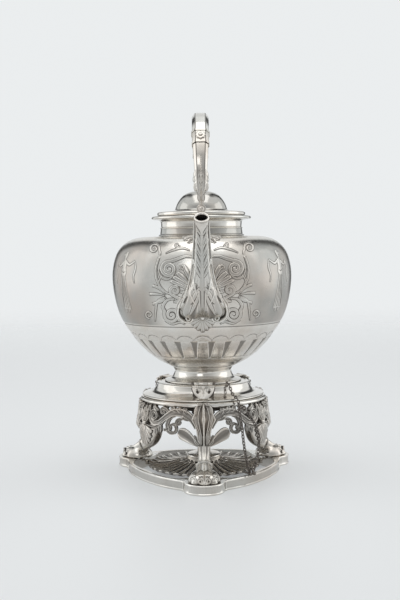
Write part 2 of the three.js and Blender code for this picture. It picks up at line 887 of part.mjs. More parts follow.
// The lock pin lies on the base frame with its ring standing up.
function lockPin() {
  const ring = new THREE.TorusGeometry(3, 0.8, 5, 10).rotateY(Math.PI / 2).translate(0, 0, 3.9);
  const shaft = new THREE.CylinderGeometry(1.2, 0.9, 13, 8).translate(0, -8, 1.3);
  const wings = new THREE.SphereGeometry(1, 8, 4).scale(4.2, 1.4, 1.6).translate(0, 2.4, 1.7);
  const pin = joined(ring, shaft, wings);
  return pin.rotateZ(rad(216.9)).translate(49.2, -65.6, BASE_HEIGHT + GAP);
}
piece("lock_pin", lockPin(), STEEL);

// The floor under the middle of the object's box is the origin, so the axis moves back by half
// the spout's overhang.
const overall = new THREE.Box3().setFromObject(object);
object.position.y = -(overall.min.y + overall.max.y) / 2;

export default object;
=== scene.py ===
"""A silver tea kettle on its lamp stand: fine meshes, chased ornament and studio light.

Lengths here are in millimetres about the stand's axis and become metres in Build.piece.
Angle 0 is the front, -Y, where the spout points, and angles grow towards +X.
"""
from math import cos, pi, radians, sin

import bpy
import numpy as np
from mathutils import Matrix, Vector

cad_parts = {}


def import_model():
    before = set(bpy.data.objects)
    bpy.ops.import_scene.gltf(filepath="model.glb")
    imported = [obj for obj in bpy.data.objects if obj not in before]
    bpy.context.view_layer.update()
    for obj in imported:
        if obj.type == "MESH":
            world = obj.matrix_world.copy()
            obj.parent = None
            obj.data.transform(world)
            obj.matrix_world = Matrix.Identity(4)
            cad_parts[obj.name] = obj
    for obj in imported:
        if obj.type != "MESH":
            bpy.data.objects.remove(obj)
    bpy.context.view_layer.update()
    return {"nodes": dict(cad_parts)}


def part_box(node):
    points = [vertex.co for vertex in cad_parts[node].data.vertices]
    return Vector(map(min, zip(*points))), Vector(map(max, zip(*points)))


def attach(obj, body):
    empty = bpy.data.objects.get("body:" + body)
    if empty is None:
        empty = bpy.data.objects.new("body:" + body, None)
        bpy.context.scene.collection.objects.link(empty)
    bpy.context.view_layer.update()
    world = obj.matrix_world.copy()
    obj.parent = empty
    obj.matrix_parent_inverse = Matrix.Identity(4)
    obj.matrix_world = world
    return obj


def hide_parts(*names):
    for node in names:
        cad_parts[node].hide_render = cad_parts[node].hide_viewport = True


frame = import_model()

MM = 0.001
NECK_LOW, NECK_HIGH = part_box("kettle_neck")
AXIS_Y = (NECK_LOW.y + NECK_HIGH.y) / 2 / MM
LEG_ANGLES = {"front": 0, "right": 120, "left": 240}
PANEL_ANGLES = {"right": 60, "back": 180, "left": 300}
ENDS = {"front": 0, "back": 180}


# ---- Camera ----

CAMERA_BACK = 1100
CAMERA_HEIGHT = 252
CAMERA_SIDE = -2.4
CAMERA_PITCH = 3.15
CAMERA_ROLL = -0.65


def put(name, data):
    """A new object in the scene."""
    thing = bpy.data.objects.new(name, data)
    bpy.context.scene.collection.objects.link(thing)
    return thing


def place_camera():
    data = bpy.data.cameras.new("camera")
    data.lens = 60
    data.sensor_width = 36
    data.sensor_fit = "AUTO"
    data.clip_end = 50
    camera = put("camera", data)
    camera.location = (CAMERA_SIDE * MM, (AXIS_Y - CAMERA_BACK) * MM, CAMERA_HEIGHT * MM)
    camera.rotation_mode = "ZYX"
    camera.rotation_euler = (radians(90 - CAMERA_PITCH), 0, radians(CAMERA_ROLL))
    bpy.context.scene.camera = camera


place_camera()


# ---- Curves ----


def full_turn(count):
    """Angles in radians, evenly round a full turn."""
    return np.linspace(0, 2 * pi, count, endpoint=False)


def turn_about_z(angle):
    c, s = cos(radians(angle)), sin(radians(angle))
    return np.array([[c, -s, 0], [s, c, 0], [0, 0, 1]])


def ramp(value, start, reach):
    """0 up to the start, then rising to 1 over the reach."""
    return np.clip((value - start) / reach, 0, 1)


def fall(value, end, reach):
    """1, then falling over the reach to 0 at the end."""
    return np.clip((end - value) / reach, 0, 1)


def bell(value, middle, width):
    """1 at the middle, falling away to each side."""
    return np.exp(-(((value - middle) / width) ** 2))


def catmull(points, t):
    """A point on the smooth curve through the points, t from 0 to 1."""
    points = np.asarray(points, float)
    last = len(points) - 1
    where = np.clip(np.asarray(t, float), 0, 1) * last
    i = np.minimum(where.astype(int), last)
    w = (where - i)[..., None]
    p0, p1 = points[np.maximum(i - 1, 0)], points[i]
    p2, p3 = points[np.minimum(i + 1, last)], points[np.minimum(i + 2, last)]
    v0, v1 = (p2 - p0) / 2, (p3 - p1) / 2
    cubic, square = 2 * p1 - 2 * p2 + v0 + v1, -3 * p1 + 3 * p2 - 2 * v0 - v1
    return cubic * w**3 + square * w**2 + v0 * w + p1


def stations(values, t):
    """Evenly spaced values, read smoothly at t from 0 to 1."""
    values = np.asarray(values, float)
    return catmull(np.stack([values, values], 1), t)[..., 0]


def smooth_line(points, count):
    return catmull(points, np.linspace(0, 1, count))


def beside(points, t, out, step=0.004):
    """The two coordinates of a point out mm to the side of the curve's point at t."""
    middle = catmull(points, t)
    ahead = catmull(points, np.clip(t + step, 0, 1)) - catmull(points, np.clip(t - step, 0, 1))
    ahead /= np.linalg.norm(ahead, axis=-1)[..., None]
    return middle[..., 0] - out * ahead[..., 1], middle[..., 1] + out * ahead[..., 0]


def bent(start, middle, end, count):
    """A line from start to end, drawn towards the middle point."""
    t = np.linspace(0, 1, count)[:, None]
    return (1 - t) ** 2 * start + 2 * t * (1 - t) * middle + t * t * end


def leaf_line(start, end, bend):
    """A leaf's middle line, bent sideways by a share of its length."""
    start, end = np.asarray(start, float), np.asarray(end, float)
    along = end - start
    return bent(start, (start + end) / 2 + bend * np.array([-along[1], along[0]]), end, 13)


def rounded(points, reach, steps=4, closed=False):
    """A polyline with its corners rounded, each over the given distance at most."""
    points = np.asarray(points, float)
    line = []
    for i, p in enumerate(points):
        if not closed and i in (0, len(points) - 1):
            line.append([p])
            continue
        sides = []
        for q in (points[i - 1], points[(i + 1) % len(points)]):
            size = np.linalg.norm(q - p)
            sides.append(p + (q - p) * min(reach, size / 2) / size)
        line.append(bent(sides[0], p, sides[1], steps + 1))
    return np.concatenate(line)


def spiral(centre, radius, turns, start, sense, end=0.6, count=None):
    """Points from the outside of a spiral to its eye. start is in degrees, sense is 1 or -1."""
    count = count or int(26 * turns) + 4
    t = np.linspace(0, 1, count)
    angle = radians(start) + sense * 2 * pi * turns * t
    r = end + (radius - end) * (1 - t) ** 0.85
    return np.stack([centre[0] + r * np.cos(angle), centre[1] + r * np.sin(angle)], 1)


def joined(*lines):
    return np.concatenate([np.asarray(line, float) for line in lines])


def even(line, step):
    """A polyline resampled to even steps."""
    line = np.asarray(line, float)
    length = np.r_[0, np.cumsum(np.linalg.norm(np.diff(line, axis=0), axis=1))]
    count = max(int(length[-1] / step), 3)
    at = np.linspace(0, length[-1], count)
    return np.stack([np.interp(at, length, line[:, k]) for k in range(line.shape[1])], 1)


# ---- Meshes ----


class Build:
    """Gathers closed parts, in mm about the stand's axis, into one piece."""

    def __init__(self):
        self.points, self.quads, self.tris, self.dark = [], [], [], []
        self.count = 0

    def add(self, points, quads, tris, dark):
        quads = np.asarray(quads, int).reshape(-1, 4)
        tris = np.asarray(tris, int).reshape(-1, 3)
        corners = np.concatenate([tris, quads[:, [0, 1, 2]], quads[:, [0, 2, 3]]])
        a, b, c = (points[corners[:, k]] for k in range(3))
        if np.einsum("ij,ij->i", a, np.cross(b, c)).sum() < 0:
            quads, tris = quads[:, ::-1], tris[:, ::-1]
        self.points.append(points)
        self.quads.append(quads + self.count)
        self.tris.append(tris + self.count)
        self.dark.append(dark)
        self.count += len(points)

    def grid(self, points, dark=0.0, wrap_rows=False):
        """A grid of points (rows, columns, 3), closed round. Open ends are closed by fans."""
        points = np.asarray(points, float)
        rows, cols = points.shape[:2]
        index = np.arange(rows * cols).reshape(rows, cols)
        top, down = (index, np.roll(index, -1, 0)) if wrap_rows else (index[:-1], index[1:])
        quads = np.stack([top, np.roll(top, -1, 1), np.roll(down, -1, 1), down], -1)
        flat = points.reshape(-1, 3)
        dark = np.broadcast_to(np.asarray(dark, float), (rows, cols)).reshape(-1)
        tris = []
        for ring in () if wrap_rows else (index[0], index[-1][::-1]):
            tris += [[len(flat), q, p] for p, q in zip(ring, np.roll(ring, -1))]
            flat = np.r_[flat, [flat[ring].mean(0)]]
            dark = np.r_[dark, dark[ring].mean()]
        self.add(flat, quads, tris, dark)

    def revolve(self, profile, columns, closed=True, shape=None):
        """Turns (radius, height) points about the axis."""
        profile, angle = np.asarray(profile, float), full_turn(columns)[None, :]
        r, z, dark = profile[:, :1] + 0 * angle, profile[:, 1:] + 0 * angle, 0
        if shape:
            r, z, dark = shape(r, z, angle + 0 * r)
        self.grid(np.stack([r * np.sin(angle), -r * np.cos(angle), z], -1), dark, closed)
        return self

    def ribbon(self, line, widths, heights, place, section, base=-0.4):
        """A strap along a line of (u, v) points, standing on a surface given by place(u, v, h)."""
        # A chased strap gets a wider, low strip of painted shadow round it.
        if section is CHASE:
            self.ribbon(line, np.asarray(widths) + 1.3, 0.09, place, SHADOW_LINE, -0.2)
        line = np.asarray(line, float)
        t = np.linspace(0, 1, len(line))
        width = stations(widths, t)[:, None] / 2
        height = stations([heights] * 2 if np.isscalar(heights) else heights, t)[:, None]
        along = np.gradient(line, axis=0)
        along /= np.linalg.norm(along, axis=1)[:, None] + 1e-9
        across, up, dark = np.array(section, float).T
        u = line[:, :1] - along[:, 1:] * width * across
        v = line[:, 1:] + along[:, :1] * width * across
        self.grid(place(u, v, base + (height - base) * up), dark)

    def turned(self, angle):
        """A copy turned about the axis."""
        other = Build()
        other.points = [p @ turn_about_z(angle).T for p in self.points]
        other.quads, other.tris, other.dark = self.quads, self.tris, self.dark
        return other

    def piece(self, name, body, material, *nodes, slot="polished_silver", sharp=None):
        """Makes the Blender object, in metres, parents it to what it rides on and hides the imported parts it
        stands for.
        """
        points = (np.concatenate(self.points) + [0, AXIS_Y, 0]) * MM
        quads, tris = np.concatenate(self.quads), np.concatenate(self.tris)
        sizes = np.r_[np.full(len(quads), 4), np.full(len(tris), 3)]
        loops = np.r_[quads.ravel(), tris.ravel()]
        mesh = bpy.data.meshes.new(name)
        mesh.vertices.add(len(points))
        mesh.vertices.foreach_set("co", points.astype(np.float32).ravel())
        mesh.loops.add(len(loops))
        mesh.loops.foreach_set("vertex_index", loops.astype(np.int32))
        mesh.polygons.add(len(sizes))
        starts = np.r_[0, np.cumsum(sizes)[:-1]]
        mesh.polygons.foreach_set("loop_start", starts.astype(np.int32))
        mesh.polygons.foreach_set("use_smooth", np.ones(len(sizes), bool))
        mesh.update(calc_edges=True)
        if sharp:
            mesh.set_sharp_from_angle(angle=radians(sharp))
        # The dark attribute is painted shade: positive darkens towards the recess shade, negative gives a duller
        # painted shade
        dark = mesh.attributes.new("dark", "FLOAT", "POINT")
        dark.data.foreach_set("value", np.concatenate(self.dark).astype(np.float32))
        mesh.materials.append(material)
        thing = put(name, mesh)
        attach(thing, body)
        if nodes:
            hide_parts(*nodes)
        return thing


# Strap sections: (across from -1 to 1, up from 0 to 1, darkness), the darkness being painted shade; negative is a
# duller painted shade.
DOME = [(-1.22, 0, 1), (-1.16, 0.14, 1), (-0.98, 0.22, 0.9), (-0.86, 0.84, 0.1), (-0.5, 0.96, 0)]
DOME += [(0, 1, 0), (0.5, 0.96, 0), (0.86, 0.84, 0.1), (0.98, 0.22, 0.9), (1.16, 0.14, 1)]
DOME.append((1.22, 0, 1))
# A chased strap with painted shade along its edges, a duller painted shade on top and a strip of painted shadow
# round it.
CHASE = [(-1, 0, 1), (-0.97, 0.5, 0.9), (-0.86, 0.84, -0.1), (-0.5, 0.96, -0.34), (0, 1, -0.4)]
CHASE += [(0.5, 0.96, -0.34), (0.86, 0.84, -0.1), (0.97, 0.5, 0.9), (1, 0, 1)]
# A thin strip of painted shadow.
SHADOW_LINE = [(-1, 0, 0.4), (-0.92, 0.9, 0.9), (0, 1, 1), (0.92, 0.9, 0.9), (1, 0, 0.4)]
FINGER = [0.5, 0.75, 0.95, 1.05, 0.8]
RIMMED = [(-1, 0, 1), (-0.92, 0.8, 0.3), (-0.74, 1, 0), (-0.5, 0.6, 0.85), (0, 0.46, 0.6)]
RIMMED += [(0.5, 0.6, 0.85), (0.74, 1, 0), (0.92, 0.8, 0.3), (1, 0, 1)]
SPOON = [(-1, 0, 1), (-0.95, 0.9, 0.1), (-0.8, 1, 0), (-0.5, 0.5, 0.7), (0, 0.3, 0.8), (0.5, 0.5, 0.7)]
SPOON += [(0.8, 1, 0), (0.95, 0.9, 0.1), (1, 0, 1)]
RIDGE = [(-1, 0, 1), (-0.5, 0.45, 0.5), (0, 1, 0), (0.5, 0.45, 0.5), (1, 0, 1)]
LOBE = [(-1.1, 0.3, 1), (-1, 0.4, 1), (-0.86, 0.84, 0.3), (-0.5, 0.98, 0), (0, 0.86, 0.35)]
LOBE += [(0.5, 0.98, 0), (0.86, 0.84, 0.3), (1, 0.4, 1), (1.1, 0.3, 1)]
# A lobe with only faint painted shade at its edges.
PALE_LOBE = [(across, up, 0.15 * dark) for across, up, dark in LOBE]
PETAL = [0.35, 1, 1.12, 0.9, 0.3]
TAPER = [1, 0.95, 0.8, 0.55, 0.3]


def copies(build, angles, name, body, material, node, **more):
    """One piece of the same shape at each side's angle; the side ends the names."""
    for side, angle in angles.items():
        build.turned(angle).piece(name + side, body, material, node + side, **more)


def lathe(build, profile, axis, centre, columns):
    """Turns (radius, distance) points about a line along an axis: 0 is X, 1 is Y, 2 is Z."""
    profile, a = np.asarray(profile, float), full_turn(columns)[None, :]
    parts = [profile[:, :1] * np.cos(a), profile[:, :1] * np.sin(a)]
    parts.insert(axis, profile[:, 1:] + 0 * a)
    build.grid(np.stack(parts, -1) + centre)


def petal(build, start, end, width, height, place, section=DOME, bend=0.0, widths=PETAL):
    """A leaf from its root to its tip, bent sideways by a share of its length."""
    heights = height * np.array([0.7, 1, 1, 0.9, 0.5])
    build.ribbon(leaf_line(start, end, bend), width * np.array(widths), heights, place, section)


# ---- Materials ----


class Nodes:
    """Adds nodes to a tree. Their inputs are numbers, colours or other nodes' outputs."""

    def __init__(self, tree):
        self.tree = tree

    def fill(self, node, inputs):
        for key, value in inputs.items():
            if isinstance(value, bpy.types.NodeSocket):
                self.tree.links.new(value, node.inputs[key])
            else:
                node.inputs[key].default_value = value

    def add(self, kind, inputs, output=0, **settings):
        """Adds a node and gives back one of its outputs."""
        node = self.tree.nodes.new(kind)
        for key, value in settings.items():
            setattr(node, key, value)
        self.fill(node, inputs)
        return node.outputs[output]

    def math(self, operation, first, second):
        return self.add("ShaderNodeMath", {0: first, 1: second}, operation=operation)

    def ranged(self, value, low, high, to_low=0, to_high=1, kind="LINEAR"):
        """The value, taken from the range low to high to another range."""
        inputs = {"Value": value, "From Min": low, "From Max": high, "To Min": to_low, "To Max": to_high}
        return self.add("ShaderNodeMapRange", inputs, "Result", interpolation_type=kind)


def new_material(name):
    """A material, its nodes and its surface shader."""
    material = bpy.data.materials.new(name)
    material.use_nodes = True
    return material, Nodes(material.node_tree), material.node_tree.nodes["Principled BSDF"]


def silver(name, tone, roughness, recess_shade, tarnish, grain, grain_depth, hammer=0.0):
    """Silver with warm tarnish in patches, painted shade in recesses and creases, a duller painted shade on some
    zones, and a fine worked surface.
    """
    material, nodes, shader = new_material(name)
    ranged = nodes.ranged
    where = nodes.add("ShaderNodeTexCoord", {}, "Object")

    def noise(scale, detail, rough=0.55):
        inputs = {"Vector": where, "Scale": scale, "Detail": detail, "Roughness": rough}
        return nodes.add("ShaderNodeTexNoise", inputs, "Fac")

    def mixed(share, first, second):
        first, second = ((*v, 1) if isinstance(v, tuple) else v for v in (first, second))
        return nodes.add("ShaderNodeMix", {6: first, 7: second, 0: share}, 2, data_type="RGBA")

    def tinted(*shares):
        return tuple(value * share for value, share in zip(tone, shares))

    def bumped(distance, height, **more):
        inputs = {"Strength": 1, "Distance": distance * MM, "Height": height, **more}
        return nodes.add("ShaderNodeBump", inputs, "Normal")

    base = mixed(ranged(noise(22, 4), 0.42, 0.68, 0, tarnish), tone, tinted(0.94, 0.84, 0.77))
    base = mixed(ranged(noise(9, 3), 0.45, 0.7, 0, tarnish), base, tinted(0.82, 0.86, 0.86))
    # The dark attribute carries painted shade: above 0.1 it darkens towards the recess shade colour, below 0 it
    # blends to a duller painted shade
    stored = nodes.add("ShaderNodeAttribute", {}, "Fac", attribute_name="dark")
    # Painted shade in hollows, read from the mesh's pointiness
    cavity_shade = ranged(nodes.add("ShaderNodeNewGeometry", {}, "Pointiness"), 0.5, 0.44)
    deep = nodes.math("MAXIMUM", ranged(stored, 0.1, 1), ranged(cavity_shade, 0, 1, 0, 0.55))
    # The duller painted shade: greys standing in for darker reflections
    dull_shade = mixed(ranged(noise(15, 5), 0.4, 0.62), COOL_DULL_SHADE, WARM_DULL_SHADE)
    dull_shade = mixed(ranged(noise(60, 6), 0.45, 0.7, 0, 0.5), dull_shade, PALE_DULL_SHADE)
    base = mixed(ranged(stored, 0, -1), base, dull_shade)
    stain = ranged(noise(15, 5, 0.6), 0.5, 0.68, 0, tarnish * 0.75)
    base = mixed(stain, base, tinted(0.5, 0.43, 0.375))
    # Painted shade in recesses and creases
    base = mixed(ranged(deep, 0, 1, 0, recess_shade), base, RECESS_SHADE)
    rough = ranged(noise(240, 5, 0.6), 0.3, 0.7, roughness * 0.8, roughness * 1.25)
    rough = nodes.math("ADD", rough, ranged(deep, 0, 1, 0, 0.25))
    normal = bumped(grain_depth, noise(grain, 6, 0.65))
    if hammer:
        normal = bumped(hammer, noise(34, 2), Normal=normal)
    nodes.fill(shader, {"Metallic": 1, "Base Color": base, "Roughness": rough, "Normal": normal})
    return material


def wick_cotton():
    material, nodes, shader = new_material("wick_cotton")
    where = nodes.add("ShaderNodeTexCoord", {}, "Object")
    weave = nodes.add("ShaderNodeTexWave", {"Vector": where, "Scale": 700, "Distortion": 3}, "Fac")
    colour = nodes.add("ShaderNodeValToRGB", {"Fac": weave}, "Color")
    for stop, tone in zip(colour.node.color_ramp.elements, ((0.45, 0.4, 0.32, 1), (0.8, 0.75, 0.64, 1))):
        stop.color = tone
    normal = nodes.add("ShaderNodeBump", {"Distance": 0.2 * MM, "Height": weave}, "Normal")
    nodes.fill(shader, {"Base Color": colour, "Normal": normal, "Roughness": 0.9})
    return material


# Colours of the duller painted shade, and of the painted shade in recesses
COOL_DULL_SHADE = (0.24, 0.252, 0.242)
WARM_DULL_SHADE = (0.335, 0.294, 0.265)
PALE_DULL_SHADE = (0.42, 0.42, 0.395)
RECESS_SHADE = (0.055, 0.046, 0.04)
BRIGHT = (0.76, 0.74, 0.7)
GREY = (0.7, 0.67, 0.625)
POLISHED = silver("polished_silver", BRIGHT, 0.13, 0.85, 0.55, 900, 0.03, 0.1)
CHASED = silver("chased_silver", BRIGHT, 0.22, 0.9, 0.6, 700, 0.035, 0.14)
CAST = silver("cast_silver", GREY, 0.2, 0.95, 0.7, 500, 0.02, 0.1)
SHELL = silver("fluted_silver", GREY, 0.15, 0.95, 0.5, 300, 0.004)
DARK = silver("dark_metal", (0.2, 0.18, 0.165), 0.34, 0.8, 0.5, 900, 0.06)
COTTON = wick_cotton()


# ---- Kettle body ----

BODY = [
    (36.4, 120.6), (55.2, 131.5), (77.2, 155), (91.8, 181), (97.9, 214),
    (95, 238), (86, 252.6), (70, 260.4), (42, 261.6),
]
SEAM = 166.7
BELLY = 97.9
BODY_THICKNESS = 1.6
BODY_COLUMNS = 640
TONGUES = 26
TONGUE_TOP = 152.4
TONGUE_FOOT = 134
ARCH_RISE = 7

_table = catmull(BODY, np.linspace(0, 1, 1600))
_slope = np.gradient(_table, axis=0)
_slope /= np.linalg.norm(_slope, axis=1)[:, None]


def radius_at(z):
    return np.interp(z, _table[:, 1], _table[:, 0])


def on_body_round(angle, z, h):
    """A point on the body at an angle in radians and a height, h mm proud of it."""
    r = radius_at(z)
    out = np.interp(z, _table[:, 1], _slope[:, 1])
    up = -np.interp(z, _table[:, 1], _slope[:, 0])
    r, z = r + h * out, z + h * up
    return np.stack([r * np.sin(angle), -r * np.cos(angle), z], -1)


def on_body_front(u, v, h):
    """A point on the front of the body, u mm to the right of the middle, at height v."""
    return on_body_round(np.arcsin(np.clip(u / radius_at(v), -0.98, 0.98)), v, h)


def on_shoulder(u, w, h):
    """A point on the shoulder, u mm to the right and w mm in front of the axis."""
    rho = np.hypot(u, w)
    top = _table[_table[:, 0].argmax():]
    z = np.interp(rho, top[::-1, 0], top[::-1, 1])
    return np.stack([u, -w, z + h], -1)


def body_shape(r, z, angle):
    """Chases the lotus tongues and arches below the seam, and the seam's two lines. Paints shade in the gaps,
    arches, sill and seam lines, a duller painted shade on the body above the seam, lighter towards the front, and
    a faint one below it.
    """
    cell = angle / (2 * pi) * TONGUES
    off = np.abs(cell - np.round(cell))
    outer = np.zeros_like(r)
    outer[: int(len(r) * 0.82)] = 1
    gap_from = 0.5 - (0.08 + 0.14 * ramp(z, TONGUE_FOOT, TONGUE_TOP - TONGUE_FOOT))
    inside = (z > TONGUE_FOOT) & (z < TONGUE_TOP)
    in_gap = ramp(off, gap_from, 0.035) * inside
    edge = bell(off, gap_from - 0.05, 0.02) * inside
    crown = np.clip(1 - (off / 0.42) ** 2, 0, 1) * inside
    arcs = np.zeros_like(r)
    for away, weight in ((off / 0.5, 1), ((0.5 - off) / 0.5, 0.35)):
        line = TONGUE_TOP - 0.8 + ARCH_RISE * np.sqrt(np.clip(1 - away**2, 0, 1))
        arcs = np.maximum(arcs, weight * bell(z, line, 0.45) * (away < 0.99))
    sill = bell(z, TONGUE_FOOT - 0.8, 0.45)
    seam = bell(z, SEAM + 1.6, 0.5) + 0.3 * bell(z, SEAM - 1.9, 0.35)
    lift = -1.1 * in_gap + 0.45 * crown + 0.25 * edge - 0.35 * arcs - 0.5 * seam - 0.3 * sill
    # Duller painted shade above the seam, fading out at the front
    dull_body_shade = ramp(z, 169, 1.5) * fall(z, 256, 5) * (0.78 - 0.72 * ramp(np.cos(angle), 0.78, 0.14))
    dark = np.clip(0.72 * in_gap + arcs + seam + 0.5 * sill, 0, 1) - dull_body_shade
    # A faint duller painted shade below the seam
    dark = np.where(dark < 0.12, dark - 0.12 * fall(z, 165.4, 1.5), dark)
    return r + outer * lift, z, outer * dark


def kettle_body():
    t = np.r_[np.linspace(0, 0.055, 5), np.linspace(0.06, 0.36, 84), np.linspace(0.37, 1, 62)]
    inner = np.stack(beside(BODY, np.linspace(1, 0.01, 32), BODY_THICKNESS), 1)
    inner = inner[inner[:, 1] < 260]
    profile = joined([(0.01, 120.6)], catmull(BODY, t), inner, [(30, 122.2), (0.01, 122.2)])
    build = Build().revolve(profile, BODY_COLUMNS, shape=body_shape)
    build.piece("body_shell", "kettle", CHASED, "kettle_bowl", "kettle_shoulder")


# ---- Chased ornament on the body ----


def both(draw):
    """Draws on the right, then mirrored on the left."""
    for side in (1, -1):
        draw(lambda points, s=side: np.asarray(points, float) * [s, 1], side)


def front_ornament():
    build = Build()
    place = on_body_front

    def draw(flip, side):
        def strap(line, widths, height):
            build.ribbon(flip(line), widths, height, place, CHASE)

        def leaves(rows, height, widths=PETAL):
            for start, end, width, bend in rows:
                petal(build, *flip([start, end]), width, height, place, CHASE, bend * side, widths)

        for lead, coil, width, height in (
            ([(10, 240), (17, 240.6), (25, 238)], ((33.4, 228), 8, 1.9, 100, -1), 3.3, 0.9),
            ([(15, 198.6), (19, 197.2), (23.4, 198.4)], ((27.4, 206.4), 5.4, 1.45, -75, 1), 3, 0.95),
            ([(28, 198), (35.6, 196.6), (40.2, 190)], ((31.2, 181.4), 8, 1.9, 30, -1), 3, 0.9),
        ):
            coil = spiral(*coil)
            line = even(joined(smooth_line(joined(lead, coil[:1]), 16)[:-1], coil), 0.8)
            strap(line, np.array([0.6, 1, 1.05, 1.1, 1.1, 1.05, 0.95]) * width, height)
        fan = [
            ((11.6, 214), (19, 231.6), 4.6, 0.12), ((12.2, 211.4), (25.4, 224.4), 4.4, 0.1),
            ((12.6, 209.4), (29, 220.2), 4, 0.06), ((13, 207.6), (31.6, 216.2), 3.6, 0.02),
            ((14, 204.6), (22, 205.4), 3, -0.1),
        ]
        leaves(fan, 1, FINGER)
        leaves([((17.6, 199), (29.6, 194.8), 3.6, -0.14), ((19, 197), (26.4, 188.6), 4, -0.12)], 0.9)
        spray = [
            ((37, 201.6), (50.6, 211.4), 2.6, 0.2), ((38, 201), (54, 202.4), 2.8, 0.12),
            ((37, 200.4), (51, 192.4), 2.6, -0.16), ((36.4, 203), (45, 209.4), 2.2, 0.24),
            ((36.4, 199.4), (44.6, 194), 2.2, -0.2),
        ]
        leaves(spray, 0.7, TAPER[::-1])
        for points, count, widths, height in (
            (
                [(32.6, 202.6), (40, 207), (45.6, 216.6), (46.8, 228), (43.4, 240)],
                30, [1.2, 2.2, 2.4, 2], 0.65,
            ),
            ([(40, 222), (44.4, 214.6), (43, 207)], 14, [0.8, 1.6, 0.8], 0.45),
            ([(28.6, 221.6), (35, 217.8), (41.6, 220.4), (44.2, 228)], 20, [1, 2, 2, 0.8], 0.6),
            ([(39, 199.6), (45.6, 195), (47.8, 185), (48.8, 174)], 20, [1.1, 1.9, 1.8, 0.9], 0.55),
            ([(38.6, 175.4), (31, 171.8), (23, 173.8), (17.6, 171.4)], 20, [1, 2, 1.9, 0.8], 0.6),
            ([(12, 246.6), (20, 249), (29, 247), (37, 243.6)], 20, [0.8, 2, 1.8, 0.6], 0.5),
        ):
            strap(smooth_line(points, count), widths, height)
        top = spiral((48.8, 249), 5.6, 1.5, 200, -1)
        strap(even(joined([(42.6, 242), (42.4, 245)], top), 0.8), [1.8, 2.1, 1.9, 1.5], 0.6)
        strap(even(spiral((55, 181), 4, 1.4, -100, 1), 0.6), [1.4, 1.6, 1.3], 0.45)
        strap(spiral((19.6, 229.2), 2.6, 1.2, -40, 1, count=26), [1.6, 1.9, 1.2], 1.3)
        strap(spiral((18.6, 174.6), 2.2, 0.9, -60, 1, count=16), [1.3, 1.1], 0.55)
        strap(spiral((25, 252), 2.6, 1.1, 180, 1, count=18), [1.1, 1], 0.4)

    both(draw)
    for angle in np.linspace(-80, 80, 9):
        s, c = sin(radians(angle)), cos(radians(angle))
        tip = (13.6 * s, 178.6 - (15.4 - 3 * abs(s)) * c)
        petal(build, (2.4 * s, 178.6 - 2.4 * c), tip, 4, 1.7, place, CHASE, 0, [0.25, 0.5, 0.8, 1, 0.8])
    build.piece("chased_scrolls", "kettle", CHASED)


def shoulder_fan(build):
    """The palmette on the shoulder at the foot of a handle bracket."""
    for degrees in (-104, -84, -64, -44, -22, 0, 22, 44, 64, 84, 104):
        s, c = sin(radians(degrees)), cos(radians(degrees))
        root, tip = (3 * s, 70 + 3 * c), (20.5 * s, 70 + 19 * c)
        petal(build, root, tip, 5, 1.5, on_shoulder, SPOON, 0, [0.3, 0.7, 1, 1.2, 0.6])


def figures():
    """Two draped figures chased low into the sides, with plain heads and no faces."""
    build = Build()
    for side, lift in ((1, 0.42), (-1, 0.26)):

        def place(u, v, h, side=side):
            return on_body_round(side * (radians(57) + u / BELLY), v, h)

        # A fold line: a thin strip of painted shade.
        def fold(points):
            build.ribbon(smooth_line(points, 20), [0.3, 0.8, 0.8, 0.3], lift * 1.35, place, SHADOW_LINE, 0.02)

        arm, scarf = [2.8, 2.5, 2, 1.4], [1.2, 2.2, 2, 0.7]
        for share, points, widths in (
            (0.9, [(15, 234.6), (17.6, 227), (15.4, 219), (17, 212)], scarf),
            (0.9, [(-18.4, 236), (-20.6, 228), (-18, 220), (-19.4, 213)], scarf),
            (1, [(-2.6, 186), (-2.86, 183.6), (-3.9, 182)], [2.2, 2.6, 1.2]),
            (1, [(3, 186), (3.3, 183.6), (4.5, 182)], [2.2, 2.6, 1.2]),
            (1, [(0, 225), (0.6, 217), (0.4, 207), (-0.4, 196), (0, 185.4)], [6.6, 9.6, 11.6, 13.4, 17]),
            (1.1, [(0, 229), (0, 226), (0, 222.4)], [8, 9.6, 10.6]),
            (1.2, [(0, 237), (0, 234.4), (0, 230), (0, 225.6)], [5, 9.2, 7.8, 6.2]),
            (1.3, [(-3.4, 235), (-9, 232.4), (-13, 233.4), (-18.6, 236.4)], arm),
            (1.3, [(3.4, 235), (8, 231.4), (11.4, 231.6), (15.2, 234.8)], arm),
            (1.3, [(0, 236.4), (0.1, 238), (0.2, 240)], [2.3, 2.1, 2.3]),
            (1.4, [(0.1, 239), (0.3, 241), (0.4, 243.2), (0.4, 245.4)], [2.6, 4.8, 5, 2.8]),
            (1.4, [(2.4, 242.2), (3.6, 242.8), (4.6, 242.4)], [2, 2.8, 1.6]),
        ):
            build.ribbon(smooth_line(points, 24), widths, lift * share, place, CHASE)
        for top, bottom in ((-2.4, -6), (-1, -2.4), (0.8, 1.6), (2.4, 5.6)):
            fold([(top, 221), (top * 1.2, 211), (bottom * 0.8, 198), (bottom, 187)])
        fold([(-3.4, 225.4), (-1, 224.4), (1.4, 224.6), (3.4, 225.6)])
    build.piece("chased_figures", "kettle", CHASED)


# ---- Spout ----

SPOUT = [(-80, 188), (-97, 191), (-110, 204), (-117, 224), (-123, 245), (-130, 265.4), (-139.4, 278.8)]
SPOUT_WIDTH = [20.5, 22.6, 16, 10.6, 8.4, 7.1, 7]
SPOUT_DEPTH = [15, 15.5, 14, 11.6, 9.4, 7.8, 7.6]


